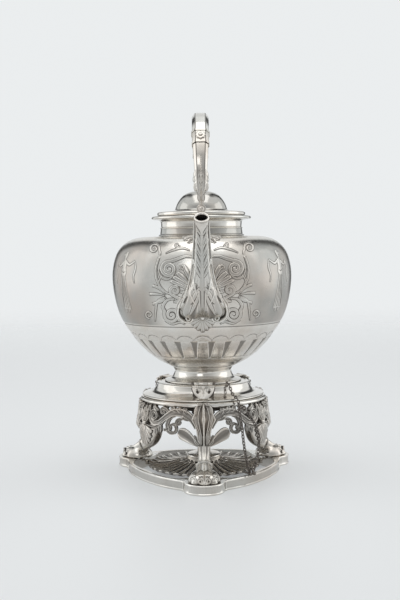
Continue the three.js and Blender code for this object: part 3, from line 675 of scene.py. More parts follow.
def on_spout(t, a, h):
    """A point on the spout: t from root to mouth, a round it with 0 at the front, h proud."""
    around = (a + pi) % (2 * pi) - pi
    notch = 0.3 * fall(t, 0.34, 0.2) * bell(around, 0, 0.34)
    y, z = beside(SPOUT, t, (stations(SPOUT_DEPTH, t) + h) * (np.cos(a) - notch))
    return np.stack([(stations(SPOUT_WIDTH, t) + h) * np.sin(a), y, z], -1)


SPOUT_LENGTH = 118


def on_spout_flat(u, v, h):
    """A point on the spout, u mm round from its front line and v mm along from its root."""
    t = np.clip(v / SPOUT_LENGTH, 0, 1)
    return on_spout(t, u / stations(SPOUT_WIDTH, t), h)


def spout_line(points, count):
    """A smooth line through (angle, share of length) points, in mm for on_spout_flat."""
    line = smooth_line(points, count)
    width = stations(SPOUT_WIDTH, np.clip(line[:, 1], 0, 1))
    return np.stack([line[:, 0] * width, line[:, 1] * SPOUT_LENGTH], 1)


def spout():
    build = Build()
    t = np.linspace(0.03, 1, 150)
    a = full_turn(168)
    tt, aa = np.meshgrid(t, a, indexing="ij")
    around = (aa + pi) % (2 * pi) - pi
    front = fall(np.abs(around), 1.5, 0.3)
    root = fall(tt, 0.5, 0.2) * front
    ribs = 1.1 * root * np.cos(2 * pi * around / 0.95)
    ribs += 0.3 * (1 - root) * np.cos(around * 8) * fall(tt, 0.93, 0.1)
    lip = 0.7 * bell(tt, 0.99, 0.012)
    # Painted shade in the rib grooves; elsewhere a duller painted shade, fading out near the mouth
    dark = np.clip(-ribs * 0.7, 0, 0.7)
    dark = np.where(dark > 0.05, dark, -0.45 * fall(tt, 0.9, 0.2))
    outer = on_spout(tt, aa, ribs + lip)
    bt, ba = np.meshgrid(np.linspace(1, 0.1, 24), a, indexing="ij")
    inner = on_spout(bt, ba, -1.3)
    # Painted shade inside the bore
    shade = np.concatenate([dark, np.clip((1 - bt) * 14, 0, 1)])
    build.grid(np.concatenate([outer, inner]), shade, wrap_rows=True)
    place = on_spout_flat

    def strap(points, widths, height=0.9, section=DOME, count=30):
        build.ribbon(spout_line(points, count), widths, height, place, section)

    for s in (1, -1):
        rim = [(s * 1.3, 0.93), (s * 1.42, 0.7), (s * 1.5, 0.5), (s * 1.5, 0.36), (s * 1.42, 0.26)]
        strap(rim, [0.8, 1.5, 1.8, 2.4, 2.6], 1.2, count=50)
        for a0, t0, a1, t1, width in (
            (0.12, 0.5, 1.15, 0.62, 3.2),
            (0.1, 0.57, 0.95, 0.7, 3),
            (0.1, 0.66, 1.05, 0.78, 2.8),
            (0.1, 0.74, 0.8, 0.86, 2.6),
            (0.1, 0.82, 0.95, 0.92, 2.2),
        ):
            strap([(s * a0, t0), (s * a1 * 0.5, t0 * 0.55 + t1 * 0.45), (s * a1, t1)],
                  [width * 0.5, width, width * 0.4], 0.5, CHASE, 18)
        for a0, t0, a1, t1 in ((0.3, 0.36, 0.9, 0.5), (0.35, 0.3, 1.2, 0.42)):
            strap([(s * a0, t0), (s * a1 * 0.7, (t0 + t1) / 2), (s * a1, t1)], [1, 2.4, 0.8], 0.8, DOME, 18)
        coil = spiral((s * 11.4, 0.6 * SPOUT_LENGTH), 2.4, 1.2, 90, s, count=24)
        build.ribbon(coil, [1.4, 1.4, 0.9], 1.1, place, DOME)
    strap([(0, 0.42), (0, 0.55), (0, 0.7), (0, 0.9)], [0.8, 2, 1.6, 0.6], 0.7, RIDGE, 50)
    for s in (1, -1):
        for a0, t0, a1, t1, width in (
            (0.2, 0.42, 0.75, 0.3, 3.4), (0.22, 0.38, 0.6, 0.2, 3.6), (0.5, 0.44, 1.15, 0.34, 3),
            (0.7, 0.34, 1.1, 0.2, 3.4), (0.9, 0.42, 1.4, 0.3, 2.6),
        ):
            strap([(s * a0, t0), (s * (a0 + a1) * 0.56, (t0 + t1) / 2), (s * a1, t1)],
                  [width * 0.5, width, width * 0.5], 0.6, CHASE, 20)
    petal(build, (0, 0.4 * SPOUT_LENGTH), (0, 0.19 * SPOUT_LENGTH), 8, 2, place, RIMMED, 0, TAPER)
    return build.piece("spout_shell", "kettle", CHASED, "spout")


def spout_root():
    """The raised edge of the leaf that the spout grows from, with a volute at each lobe."""
    build = Build()
    place = on_body_front

    def draw(flip, side):
        rim = smooth_line([(11, 226), (13.6, 212), (18.6, 198.6), (23.4, 189), (23, 180.6), (16.4, 175.6)], 50)
        coil = spiral((13.2, 180), 4.2, 1.5, -75, -1)
        line = even(joined(rim, coil), 0.8)
        build.ribbon(flip(line), [1.2, 2.2, 2.4, 2.4, 2.2, 1.6], [2, 3, 4, 5, 6, 6.6], place, DOME)
        inner = smooth_line([(15.4, 214), (21, 200), (26, 190.6), (25.4, 178.4), (18, 173.4)], 40)
        build.ribbon(flip(inner), [0.8, 1.4, 1.5, 0.8], 1.1, place, DOME)

    both(draw)
    node = [(0, 184.6), (0, 182.6), (0, 180.4), (0, 178.6)]
    build.ribbon(node, [2, 4.4, 4.4, 2], 7, place, DOME)
    return build.piece("spout_leaf", "kettle", CHASED)


# ---- Neck, foot and lid ----


def shade_bands(*bands):
    """A revolve shape that paints shade on (low, high, amount) bands of heights: positive is painted recess
    shade, negative a duller painted shade.
    """

    def shape(r, z, angle):
        dark = 0 * z
        for low, high, amount in bands:
            inside = ramp(z, low, 0.6) * fall(z, high, 0.6)
            dark = np.where(inside > 0, amount * inside, dark)
        return r, z, dark

    return shape


def turned_piece(name, body, nodes, profile, reach, *bands, columns=144, material=POLISHED, sharp=50, **more):
    """A piece turned about the axis from a closed (radius, height) profile, with painted shade on the given bands
    of heights.
    """
    build = Build().revolve(rounded(profile, reach, 3, True), columns, shape=shade_bands(*bands))
    build.piece(name, body, material, *nodes, sharp=sharp, **more)


def turned_pieces():
    neck = [
        (41.5, 261.9), (47, 261.9), (47, 263), (45.4, 263.6), (45, 266), (44.6, 269.6), (45.2, 270.2),
        (45.2, 271), (44.2, 271.4), (44.2, 274), (44.5, 277.6), (47, 279.6), (52.6, 279.8), (54.4, 280.4),
        (54.5, 282.2), (53.4, 283.3), (41.5, 283.3),
    ]
    # Painted shade: the neck's lower half and its top lip duller
    shades = (262, 270.4, -0.62), (279.6, 283.5, -0.2)
    turned_piece("neck_collar", "kettle", ["kettle_neck"], neck, 0.7, *shades)
    foot = [
        (28.6, 120.3), (28.6, 111.5), (31, 107.4), (34, 105.4), (38, 103.4), (41.6, 103.3),
        (42.4, 104.2), (41.4, 105.2), (37.4, 105.8), (34.6, 107.2), (32.8, 109.6), (31.4, 112.6),
        (31, 115.4), (32.6, 117.6), (34.4, 120.3),
    ]
    # Painted shade: the foot's spread duller, and darker at its top under the bowl
    shades = (102, 109, -0.25), (116, 121, 0.3)
    turned_piece("spread_foot", "kettle", ["kettle_foot"], foot, 1.6, *shades)
    wire = [(82.6, 165.4), (83.6, 165.3), (84.6, 166.3), (84.6, 167.4), (83, 167.6)]
    turned_piece(
        "seam_wire", "kettle", ["belly_wire"], wire, 0.4, columns=200, sharp=None, slot="cast_silver"
    )
    lid = [
        (2.3, 310.8), (8, 310.6), (12, 309.8), (16.4, 308.2), (20, 305.8), (22.6, 303),
        (24.6, 300.2), (26.4, 297), (27.6, 294), (28.3, 291.6), (28.9, 290.2), (30.6, 289.4),
        (34, 289), (40, 288.6), (46, 288.2), (48.2, 287.4), (48.4, 285.4), (47.6, 283.7), (40.2, 283.6),
        (40.2, 277.5), (38.9, 277.5), (38.9, 286), (26.6, 288.6), (21.6, 300.4), (12, 307.6),
        (2.3, 308.9),
    ]
    # Painted shade: the dome duller, and darker along the brim's edge
    shades = (289.6, 311, -0.6), (288, 289.5, 0.5)
    turned_piece("lid_dome", "lid", ["lid", "lid_skirt"], lid, 1, *shades)

    def bud(r, z, angle):
        share = ramp(z, 317, 4) * fall(z, 333, 6)
        wave = np.abs(np.cos(angle * 4))
        # Painted shade in the grooves between the bud's lobes
        return r * (1 + 0.09 * share * (wave - 0.6)), z, np.clip((0.35 - wave) * 2.4, 0, 1) * share

    finial = [
        (0.01, 303.4), (1.9, 303.4), (1.9, 311.1), (6.4, 311.1), (6.6, 312.4), (5.2, 313.6),
        (3.4, 315), (3.2, 316.4), (5, 318), (8, 320.4), (8.9, 323.4), (8, 327), (5.4, 330.4),
        (2.4, 332.6), (0.01, 333.6),
    ]
    build = Build().revolve(rounded(finial, 1.2, 4), 96, closed=False, shape=bud)
    build.piece("bud_finial", "lid", POLISHED, "lid_finial")


# ---- Handle ----

PIVOT = 289
ARCH = [
    (-68.4, 291), (-75, 311), (-77, 335), (-68.4, 356.6), (-52.4, 374), (-28, 384.7), (0, 387.2),
    (28, 384.7), (52.4, 374), (68.4, 356.6), (77, 335), (75, 311), (68.4, 291),
]
ARCH_WIDTH = [1.4, 5.2, 7, 8.2, 8.8, 9, 9, 9, 8.8, 8.2, 7, 5.2, 1.4]
ARCH_DEPTH = [2.4, 4.6, 5.4, 6, 6.8, 7.1, 7.1, 7.1, 6.8, 6, 5.4, 4.6, 2.4]
ARCH_LENGTH = 260
CLASP_FROM, CLASP_TO = 0.238, 0.295


def on_arch(t, x, out):
    """A point x mm across and out mm outwards from the bail's middle line."""
    y, z = beside(ARCH, t, out, 0.002)
    return np.stack([x + 0 * y, y, z], -1)


# The bail's section: (across, out, darkness), the darkness being painted shade along the edges of its broad face
# and at its sides.
BAIL = [(0, 1, 0), (0.5, 1, 0), (0.56, 0.98, 0.85), (0.64, 0.95, 0.85), (0.69, 0.88, 0), (0.95, 0.5, 0)]
BAIL += [(0.99, 0.4, 0.5), (1, 0.3, 0), (1, -0.3, 0), (0.99, -0.4, 0.5), (0.95, -0.5, 0), (0.69, -0.88, 0)]
BAIL += [(0.64, -0.95, 0.85), (0.56, -0.98, 0.85), (0.5, -1, 0)]
BAIL += [(-across, out, dark) for across, out, dark in [(0, -1, 0), *BAIL[:0:-1]]]


def bail(build, start, end, steps, extra=0.0):
    """A length of the bail: eight-sided, with a painted shade line along each edge of its broad face."""
    t = np.linspace(start, end, steps)[:, None]
    section = np.array(BAIL)
    x = (stations(ARCH_WIDTH, t) + extra) * section[None, :, 0]
    out = (stations(ARCH_DEPTH, t) + extra) * section[None, :, 1]
    build.grid(on_arch(t + 0 * x, x, out), section[None, :, 2] + 0 * x)


def bail_leaf(build, t0, t1, x0, x1, width, height, section=DOME):
    """A leaf lying on the outside of the bail, from t0 to t1."""

    def place(u, v, h):
        t = v / ARCH_LENGTH
        edge = np.clip(1 - (np.abs(u) / (stations(ARCH_WIDTH, t) + 0.1)) ** 2, 0, 1) ** 0.5
        return on_arch(t, u, stations(ARCH_DEPTH, t) * (0.35 + 0.58 * edge) + h)

    petal(build, (x0, t0 * ARCH_LENGTH), (x1, t1 * ARCH_LENGTH), width, height, place, section)


def rosette(build, centre_t, height):
    middle = on_arch(np.array(centre_t), 0, stations(ARCH_DEPTH, centre_t) + 0.2)
    ahead = on_arch(np.array(centre_t + 0.01), 0, 0) - on_arch(np.array(centre_t), 0, 0)
    ahead /= np.linalg.norm(ahead)
    out = np.array([0, -ahead[2], ahead[1]])

    def place(u, v, h):
        return middle + u[..., None] * np.array([1, 0, 0]) + v[..., None] * ahead + h[..., None] * out

    for k in range(8):
        a = 2 * pi * k / 8
        tip = (5.4 * sin(a), 5.4 * cos(a))
        petal(build, (1.4 * sin(a), 1.4 * cos(a)), tip, 3.7, height, place, DOME)
    line = [(-1.8, 0), (-0.7, 0), (0.7, 0), (1.8, 0)]
    build.ribbon(line, [1.4, 3.4, 3.4, 1.4], height + 0.7, place, DOME)


def handle():
    branch = Build()
    bail(branch, 0.004, CLASP_FROM - 0.002, 70)
    eye = [(0.01, -70), (4.6, -70), (4.9, -69.6), (4.9, -66.7), (4.6, -66.3), (0.01, -66.3)]
    lathe(branch, rounded(eye, 0.3, 2), 1, (0, 0, PIVOT), 40)
    for k in range(5):
        start = 0.15 - 0.022 * k
        for x in (2.4, -2.4):
            bail_leaf(branch, start, start - 0.03, x * 0.6, x * (1.3 - 0.12 * k), 3, 0.7, CHASE)
    for x in (1, -1):
        bail_leaf(branch, 0.145, 0.105, x * 4.2, x * 5.8, 4.4, 0.7, PALE_LOBE)
        bail_leaf(branch, 0.108, 0.07, x * 4, x * 6.3, 4.4, 0.7, PALE_LOBE)
    bail_leaf(branch, 0.19, 0.06, 0, 0, 2.4, 1, RIDGE)
    copies(branch, ENDS, "bail_branch_", "handle", CAST, "handle_branch_", sharp=30)
    clasp = Build()
    bail(clasp, CLASP_FROM, CLASP_TO, 12, 0.4)
    for t in (CLASP_FROM + 0.004, CLASP_TO - 0.004):
        bail(clasp, t - 0.004, t + 0.004, 4, 0.9)
    rosette(clasp, (CLASP_FROM + CLASP_TO) / 2, 1.3)
    copies(clasp, ENDS, "bail_clasp_", "handle", CAST, "handle_clasp_", sharp=30)
    grip = Build()
    bail(grip, CLASP_TO + 0.002, 1 - CLASP_TO - 0.002, 80)
    grip.piece("bail_grip", "handle", POLISHED, "handle_grip", sharp=30)


def brackets():
    build = Build()
    line = smooth_line([(0, 293.2), (0, 289), (0, 282), (0, 275), (0, 268), (0, 262.4)], 60)

    def place(u, v, h):
        return np.stack([u, -62.4 - h, v], -1)

    # The bracket's section, with painted shade along its edges
    flat = [(-1, 0, 0.6), (-1, 0.9, 0.2), (-0.9, 1, 0), (-0.3, 1, 0), (0, 1.2, 0), (0.3, 1, 0)]
    flat += [(0.9, 1, 0), (1, 0.9, 0.2), (1, 0, 0.6)]
    build.ribbon(line, [3.4, 8.8, 7.2, 6.6, 9, 15], 3.2, place, flat, 0)
    shoulder_fan(build)
    copies(build, ENDS, "palmette_bracket_", "kettle", CAST, "handle_bracket_")
    rivet = Build()
    head = [(0.01, -72), (1.8, -71.8), (2.8, -71.2), (3, -70.6), (1.6, -70.5)]
    lathe(rivet, rounded([*head, (1.6, -60.9), (0.01, -60.9)], 0.4, 2), 1, (0, 0, PIVOT), 40)
    copies(rivet, ENDS, "rivet_", "kettle", CAST, "handle_rivet_")


# ---- Stand: collar, ring and clasps ----

COLLAR = [
    (40.5, 103.2), (46, 103.2), (49.4, 102.8), (50.6, 101.8), (50.8, 100.2), (52, 97), (54.2, 94.2),
    (57.4, 92.2), (61.6, 90.9), (65.6, 90.2), (66.8, 89.3), (66.2, 88.2), (57, 88), (51, 91),
    (47.6, 96.4), (45, 99.6), (40.5, 100.4),
]


def collar_and_ring():
    turned_piece("sloping_collar", "stand", ["stand_collar"], COLLAR, 0.8, columns=160)
    ring = [
        (60.5, 87.9), (66.4, 87.9), (68, 87.2), (69, 85.8), (69, 84.2), (68, 83), (66.4, 82.6),
        (60.5, 82.6),
    ]
    turned_piece("roll_moulding", "stand", ["stand_ring"], ring, 1, columns=160)


def on_collar(u, v, h):
    """A point on the collar's steep slope: u across, v up from its foot, h proud."""
    slope = radians(59)
    sag = u * u / 112
    y = -58.4 + v * cos(slope) + sag
    z = 91.6 + v * sin(slope)
    out, up = sin(slope), cos(slope)
    return np.stack([u, y - h * out, z + h * up], -1)


def slab(build, low, high):
    """A small softened box between two corners."""
    low, high = np.asarray(low, float), np.asarray(high, float)
    middle, half = (low + high) / 2, (high - low) / 2
    square = rounded([(-1, -1), (1, -1), (1, 1), (-1, 1)], 0.2, 2, True)
    rows = []
    for z, inset in ((-1, 0.12), (-0.85, 0), (0.85, 0), (1, 0.12)):
        x = middle[0] + half[0] * square[:, 0] * (1 - inset)
        y = middle[1] + half[1] * square[:, 1] * (1 - inset)
        rows.append(np.stack([x, y, 0 * x + middle[2] + half[2] * z], 1))
    build.grid(np.array(rows))


# The clasp's shield section, with painted shade at its edges.
SHIELD = [(-1.08, 0, 1), (-1.02, 0.2, 1), (-0.94, 0.9, 0.2), (-0.8, 1, 0), (0, 1.2, 0), (0.8, 1, 0)]
SHIELD += [(0.94, 0.9, 0.2), (1.02, 0.2, 1), (1.08, 0, 1)]


def knuckle(build, x0, x1, radius):
    """A short barrel of the hinge that a clasp makes with the foot."""
    profile = rounded([(0.01, x0), (radius, x0), (radius, x1), (0.01, x1)], 0.35, 2)
    lathe(build, profile, 0, (0, -50.6, 103.5 + radius), 28)


def clasps():
    for side, angle in LEG_ANGLES.items():
        radius = 2.1 if side == "front" else 1.2
        build = Build()
        plate = smooth_line([(0, -2), (0, 3), (0, 7), (0, 11), (0, 13)], 40)
        build.ribbon(plate, [7, 17, 21.6, 23.4, 21], 1.5, on_collar, SHIELD)
        petal(build, (0, 7), (0, -1), 4.4, 2.6, on_collar, RIDGE)
        for sense in (1, -1):
            coil = spiral((sense * 6.2, 8.2), 3.3, 1.2, 90, sense)
            lead = [(sense * 0.6, 4.4), (sense * 0.6, 8), (sense * 3, 11.6)]
            line = even(joined(smooth_line(lead, 10), coil), 0.4)
            build.ribbon(line, [1.2, 1.7, 1.6, 1], 2.8, on_collar, CHASE)
            # The volute's eye: a ball painted in full shade
            ball(build, (sense * 6.2, -57.4, 98.2), (1.5, 1.2, 1.5), 1)
            x0, x1 = sorted((sense * 4.9, sense * 9.6))
            knuckle(build, x0, x1, radius)
            slab(build, (x0, -53.4, 101.6), (x1, -50.2, 104))
        slab(build, (-11.4, -53.9, 101.9), (11.4, -51.6, 103.9))
        build.turned(angle).piece(f"palmette_clasp_{side}", "stand", CAST, f"clasp_{side}")
        lug = Build()
        knuckle(lug, -4.5, 4.5, radius)
        slab(lug, (-4.5, -50.4, 104), (4.5, -38.6, 105.6))
        lug.turned(angle).piece(f"foot_lug_{side}", "kettle", CAST, f"foot_knuckle_{side}")


# ---- Legs ----

# Middle line of a leg as (out, height), with its half width and half thickness.
LEG_LINE = [
    (71, 79), (69.6, 66), (66.2, 54), (64.6, 43), (67.4, 33.4), (74.4, 26.4), (83.6, 20.8), (93, 16.4),
]
LEG_HALF_WIDTH = [6, 6.4, 7, 6.9, 6.2, 6.6, 8.4, 11]
LEG_HALF_DEPTH = [3.4, 5, 8, 9.6, 9, 7.2, 6, 4]


def on_leg(t, x, out):
    """A point x mm across and out mm in front of a leg's middle line."""
    r, z = beside(LEG_LINE, t, out)
    return np.stack([x + 0 * r, -r, z], -1)


def on_capital(u, v, h):
    """The front of a leg's capital: u across, v the height, h proud. It follows the stem."""
    heights = [36, 42, 48, 54, 62, 70, 78, 84, 90]
    out = np.interp(v, heights, [75.6, 74.6, 74.6, 75, 75.4, 75, 73.6, 72.4, 73.4]) + h - 0.004 * u * u
    return np.stack([u, -out, v], -1)


# The capital's section, with painted shade in its hollows and along its edges.
CAPITAL = [(-1, 0, 0.7), (-1, 0.7, 0.3), (-0.93, 1, 0), (-0.84, 0.74, 0.4), (-0.5, 0.5, 0.2)]
CAPITAL += [(-0.22, 0.6, 0.45), (-0.12, 0.95, 0), (-0.06, 1.1, 0), (0, 1.1, 0)]
CAPITAL += [(-across, up, dark) for across, up, dark in CAPITAL[-2::-1]]


def ball(build, centre, radii, dark=0.0):
    """A smooth ellipsoid."""
    polar = np.linspace(0.08, pi - 0.08, 14)[:, None]
    a = full_turn(24)[None, :]
    x = centre[0] + radii[0] * np.sin(polar) * np.sin(a)
    y = centre[1] + radii[1] * np.sin(polar) * np.cos(a)
    z = centre[2] + radii[2] * np.cos(polar) + 0 * a
    build.grid(np.stack([x, y, z], -1), dark)


def leg():
    build = Build()
    t = np.linspace(0, 1, 90)[:, None]
    a = full_turn(72)[None, :]
    ribs = 0.6 * np.cos(a * 8) * ramp(np.cos(a), 0.3, 0.3) * ramp(t, 0.08, 0.2)
    wide = stations(LEG_HALF_WIDTH, t) + 0 * a
    deep = stations(LEG_HALF_DEPTH, t) + ribs
    c, s = np.cos(a), np.sin(a)
    square = 1 / (np.abs(c) ** 2.4 + np.abs(s) ** 2.4) ** (1 / 2.4)
    # Painted shade in the rib grooves and on the back of the stem
    dark = np.clip(-ribs * 1.2, 0, 0.6) + np.clip(-0.2 - c, 0, 1) * 0.6
    build.grid(on_leg(t + 0 * a, wide * s * square, deep * c * square), dark)
    face = smooth_line([(0, 87), (0, 76.6), (0, 66.2), (0, 55.8), (0, 45)], 70)
    widths = [11, 18.6, 20.8, 25.4, 20, 16, 14.4, 13.4, 12.4]
    build.ribbon(face, widths, [2.6, 3, 3.4, 3.4, 2.6, 1.6], on_capital, CAPITAL, -2.6)
    ankle = [(7.6, 0.77), (8.8, 0.78), (9, 0.79), (8.6, 0.8), (7.6, 0.81)]
    rows = []
    for reach, at in ankle:
        rows.append(on_leg(at + 0 * a[0], reach * s[0] * 1.02, (reach - 0.8) * c[0]))
    # The ankle ring is painted in shade
    build.grid(np.array(rows), 0.35)
    for sense in (1, -1):
        for x0, x1, low in ((3.4, 5.8, 54), (6.6, 9.4, 57)):
            vein = [(sense * x0, 85), (sense * x1, 75), (sense * x1 * 0.8, 66), (sense * x1 * 0.4, low)]
            build.ribbon(smooth_line(vein, 40), [0.9, 1.3, 1.2, 0.7], [2.4, 2.8, 2.8, 2.4], on_capital, DOME, 0.5)
        # The curl knobs carry painted shade
        ball(build, (sense * 3.7, -72.4, 87), (2.9, 2.4, 2.2), 0.5)
        petal(build, (sense * 4.2, 44), (sense * 9.6, 55.4), 5, 2.8, on_capital, RIMMED, -0.12 * sense)
        side_leaf(build, sense)
    paw(build)
    return build


def side_leaf(build, sense):
    """A spoon-shaped leaf that springs from the stem and turns outwards."""

    def place(u, v, h):
        out = 75.4 - 0.32 * (u - 8) + h
        return np.stack([sense * u, -out, v], -1)

    line = smooth_line([(6.4, 44.6), (11, 48.4), (17, 53.4), (23, 57), (26.6, 58.6)], 36)
    widths = [2.4, 7, 11.6, 12.4, 6]
    build.ribbon(line, widths, [1.6, 2.6, 3, 2.8, 1.8], place, SPOON, -0.8)


def paw(build):
    """The spread paw: a rounded shoe with four curled tips."""
    rows, cols = 26, 56
    polar = np.linspace(0.02, pi / 2, rows)[:, None]
    a = full_turn(cols)[None, :]
    front = np.clip(np.cos(a), 0, 1)
    flare = 1 + 0.09 * np.cos(a * 8) * front**0.5 * np.sin(polar)
    x = 16.6 * np.sin(polar) * np.sin(a) * flare
    y = -88 - 17.6 * np.sin(polar) * np.cos(a) * flare
    z = 10.9 + 12.6 * np.cos(polar) * (1 - 0.3 * front * np.sin(polar))
    # Painted shade in the grooves between the paw's toes
    dark = 0.8 * np.clip(-np.cos(a * 8), 0, 1) * front * np.sin(polar)
    build.grid(np.stack([x, y, z + 0 * a], -1), dark)

    def place(u, v, h):
        return np.stack([u, -104.2 + 0.045 * u * u - h, v], -1)

    for x in (-11.6, -3.8, 3.8, 11.6):
        coil = spiral((x, 14.2), 3.3, 1.4, 90, 1 if x > 0 else -1)
        build.ribbon(even(coil, 0.4), [2.1, 1.9, 1.3], 1.8, place, DOME)
    for x in (-9.6, -3.2, 3.2, 9.6):
        ball(build, (x, -98.6 + 0.05 * x * x, 18.6 - 0.014 * x * x), (3, 3.4, 2.2), 0)


# ---- Openwork panels ----

PANEL_RADIUS = 67.4


def on_panel(u, v, h):
    """A point on an openwork panel: u mm round from its middle, v the height."""
    lean = 2.2 * fall(v, 80, 18)
    r = PANEL_RADIUS + lean + 1.8 + h
    a = u / (PANEL_RADIUS + 4)
    return np.stack([r * np.sin(a), -r * np.cos(a), v + 0 * u], -1)


def scroll(build, line, widths, height=1.7, section=RIMMED):
    build.ribbon(even(line, 0.7), widths, height, on_panel, section, -1.6)


def panel():
    build = Build()
    for sense in (1, -1):

        def flip(points, s=sense):
            return np.asarray(points, float) * [s, 1]

        stem = [
            (67, 62), (62.5, 70.4), (56.2, 75.4), (48.3, 77.6), (40, 76.6), (31, 71), (23, 65.6), (16, 64.4),
        ]
        coil = spiral((15.4, 72), 6.8, 1.5, -92, -1)
        widths = [5, 7.4, 9, 8.6, 7.2, 5.8, 5, 4.4, 3.6, 3, 2.4]
        line = even(flip(joined(smooth_line(stem, 70), coil)), 0.7)
        build.ribbon(line, widths, [0, 0.9, 2, 2, 2, 2, 2], on_panel, RIMMED, -1.6)
        lower = smooth_line([(30, 68.4), (22, 61.6), (12, 58.6), (3, 60.4)], 30)
        scroll(build, flip(lower), [3, 4.6, 4.4, 3], 1.8)
        hook = smooth_line([(43, 74), (37.6, 71.4), (34.6, 65.4), (35.6, 59)], 24)
        roll = spiral((40.8, 61.4), 6.2, 1.1, 195, 1, 1.8)
        scroll(build, flip(joined(hook, roll)), [3, 4, 4, 3.6, 3, 2.6], 2)
        bud = spiral((48, 67.4), 3.4, 1.2, 60, 1)
        scroll(build, flip(joined([(57.4, 70.6), (53, 72)], bud)), [3, 3, 2.6, 1.8], 2)
        curl = joined([(36.4, 76.6), (32, 80.4)], spiral((28.4, 78), 3.3, 1.2, 90, 1))
        scroll(build, flip(curl), [3, 3.2, 2.6, 1.8])
        for start, end, width, bend in (
            ((57, 76), (54.6, 82.4), 4.6, 0.2),
            ((51.6, 78), (47, 83), 5, 0.24),
            ((46, 79), (40.4, 83), 4.6, 0.24),
            ((60, 70), (51, 74.6), 3.6, 0.2),
            ((38, 62), (30, 58.6), 3.4, 0.2),
            ((22, 78.6), (14.6, 82.8), 4, 0.2),
            ((9, 76), (6.8, 82.6), 4, -0.1),
            ((5, 66), (2.4, 78), 4.4, -0.1),
            ((26, 64), (24.6, 55.6), 4.2, 0.14),
            ((20, 60.4), (19.6, 53), 3.8, 0.1),
        ):
            heights = [1.6, 2.6, 2.8, 2.4, 1.2]
            leaf = leaf_line(*flip([start, end]), bend * sense)
            build.ribbon(leaf, np.array(FINGER) * width, heights, on_panel, RIMMED, -1.4)
    for degrees in (-74, -56, -37, -18, 0, 18, 37, 56, 74):
        s, c = sin(radians(degrees)), cos(radians(degrees))
        line = smooth_line([(1.4 * s, 61 - 1.4 * c), (7 * s, 60.4 - 10 * c), (13.6 * s, 59.4 - 20.4 * c)], 22)
        widths = np.array([0.4, 0.7, 1, 1.15, 0.8]) * 4
        build.ribbon(line, widths, [2, 3, 3.6, 3.6, 2.4], on_panel, LOBE, -1.6)
    for degrees in (-64, -32, 0, 32, 64):
        s, c = sin(radians(degrees)), cos(radians(degrees))
        line = smooth_line([(1.2 * s, 63 + 1.2 * c), (4.4 * s, 64 + 7 * c), (8 * s, 64.4 + 17 * c)], 18)
        widths = np.array([0.5, 0.9, 1.1, 1, 0.6]) * 4
        build.ribbon(line, widths, [2.4, 3, 3, 2.4, 1.2], on_panel, SPOON, -1.4)
    boss = [(-2.6, 62.6), (-1, 62.6), (1, 62.6), (2.6, 62.6)]
    build.ribbon(boss, [2.4, 5, 5, 2.4], 4, on_panel, DOME, -1.4)
    return build


# ---- Base frame and dish ----

OUTER_EDGE = [
    (0, 109.5), (1.6, 109.3), (3.2, 108.8), (4.8, 107.9), (6.4, 106.6), (7.9, 104.9), (9.3, 102.8),
    (10.6, 100.4), (11.7, 97.8), (12.6, 95.2), (13.2, 92.8), (13.5, 91), (14.3, 91), (15, 90.4), (15.4, 88.4),
    (24, 84.8), (34, 81.4), (43, 78.6), (52, 77.2), (60, 77),
]
INNER_EDGE = [
    (0, 71), (9, 71.4), (14, 74), (16, 76.6), (17, 76.4), (20, 79), (30, 77.4), (42, 73.8), (54, 70.6),
    (60, 69.8),
]
BASE_TOP = 10.5


def edge_radius(edge, angle):
    """The radius of a three-lobed edge at an angle in radians."""
    away = np.degrees(angle) % 120
    away = np.minimum(away, 120 - away)
    edge = np.array(edge)
    return np.interp(away, edge[:, 0], edge[:, 1])


def base_frame():
    build = Build()
    angle = full_turn(1080)[None, :]
    outer, inner = edge_radius(OUTER_EDGE, angle), edge_radius(INNER_EDGE, angle)
    middle = (outer + inner) / 2
    rows = []
    section = [
        (outer - 0.5, 0), (outer, 0.5), (outer, 1.6), (outer - 0.5, 2.1), (outer - 0.5, 8.3),
        (outer, 8.8), (outer, 9.9), (outer - 0.5, BASE_TOP), (outer - 2, BASE_TOP),
        (outer - 2.5, BASE_TOP - 0.25), (middle, BASE_TOP - 0.25), (inner + 2, BASE_TOP - 0.25),
        (inner + 1.5, BASE_TOP), (inner + 0.5, BASE_TOP), (inner, 10), (inner, 0.5), (inner + 0.5, 0),
        (middle, 0),
    ]
    for r, z in section:
        rows.append(np.stack([r * np.sin(angle)[0], -r * np.cos(angle)[0], z + 0 * angle], -1)[0])
    build.grid(np.array(rows), wrap_rows=True)
    build.piece("lobed_base", "stand", POLISHED, "base_frame", sharp=35)


FLUTES = 36


def fluted(r, z, angle):
    valley = np.abs(np.sin(angle * FLUTES / 2))
    share = ramp(r, 21, 6)
    fin = np.exp(-((valley / 0.6) ** 2))
    tall = share * (1 + 1.3 * ramp(r, 21, 40))
    rim = ramp(r, 54, 7)
    # Painted shade in the channels between the flutes
    dark = share * np.clip((valley - 0.6) * 6, 0, 0.9)
    return r + 1.3 * rim * valley, z + tall * (fin - 0.3) + 1.2 * rim * valley, dark


def dish():
    profile = joined(
        [(0.01, 7), (14, 7), (19.6, 7.2)],
        smooth_line([(24, 11.6), (34, 10), (46, 7.7), (55, 7), (60.4, 8.4)], 34),
        smooth_line([(60.9, 9.7), (55, 8.5), (46, 9.1), (34, 11.5), (22.6, 14.2)], 60),
        [(19.8, 13.8), (19.3, 13.2), (19.3, 8.5), (14, 8.3), (0.01, 8.3)],
    )
    build = Build()
    build.revolve(profile, FLUTES * 20, closed=True, shape=fluted)

    def place(u, v, h):
        return np.stack([u, -v, 14.8 - 0.25 * (np.hypot(u, v) - 20) + h], -1)

    for k in range(16):
        a = 2 * pi * (k + 0.5) / 16
        s, c = sin(a), cos(a)
        petal(build, (20 * s, 20 * c), (27 * s, 27 * c), 5.2, 1, place, SPOON)
    build.piece("fluted_dish", "stand", SHELL, "drip_dish", slot="cast_silver")


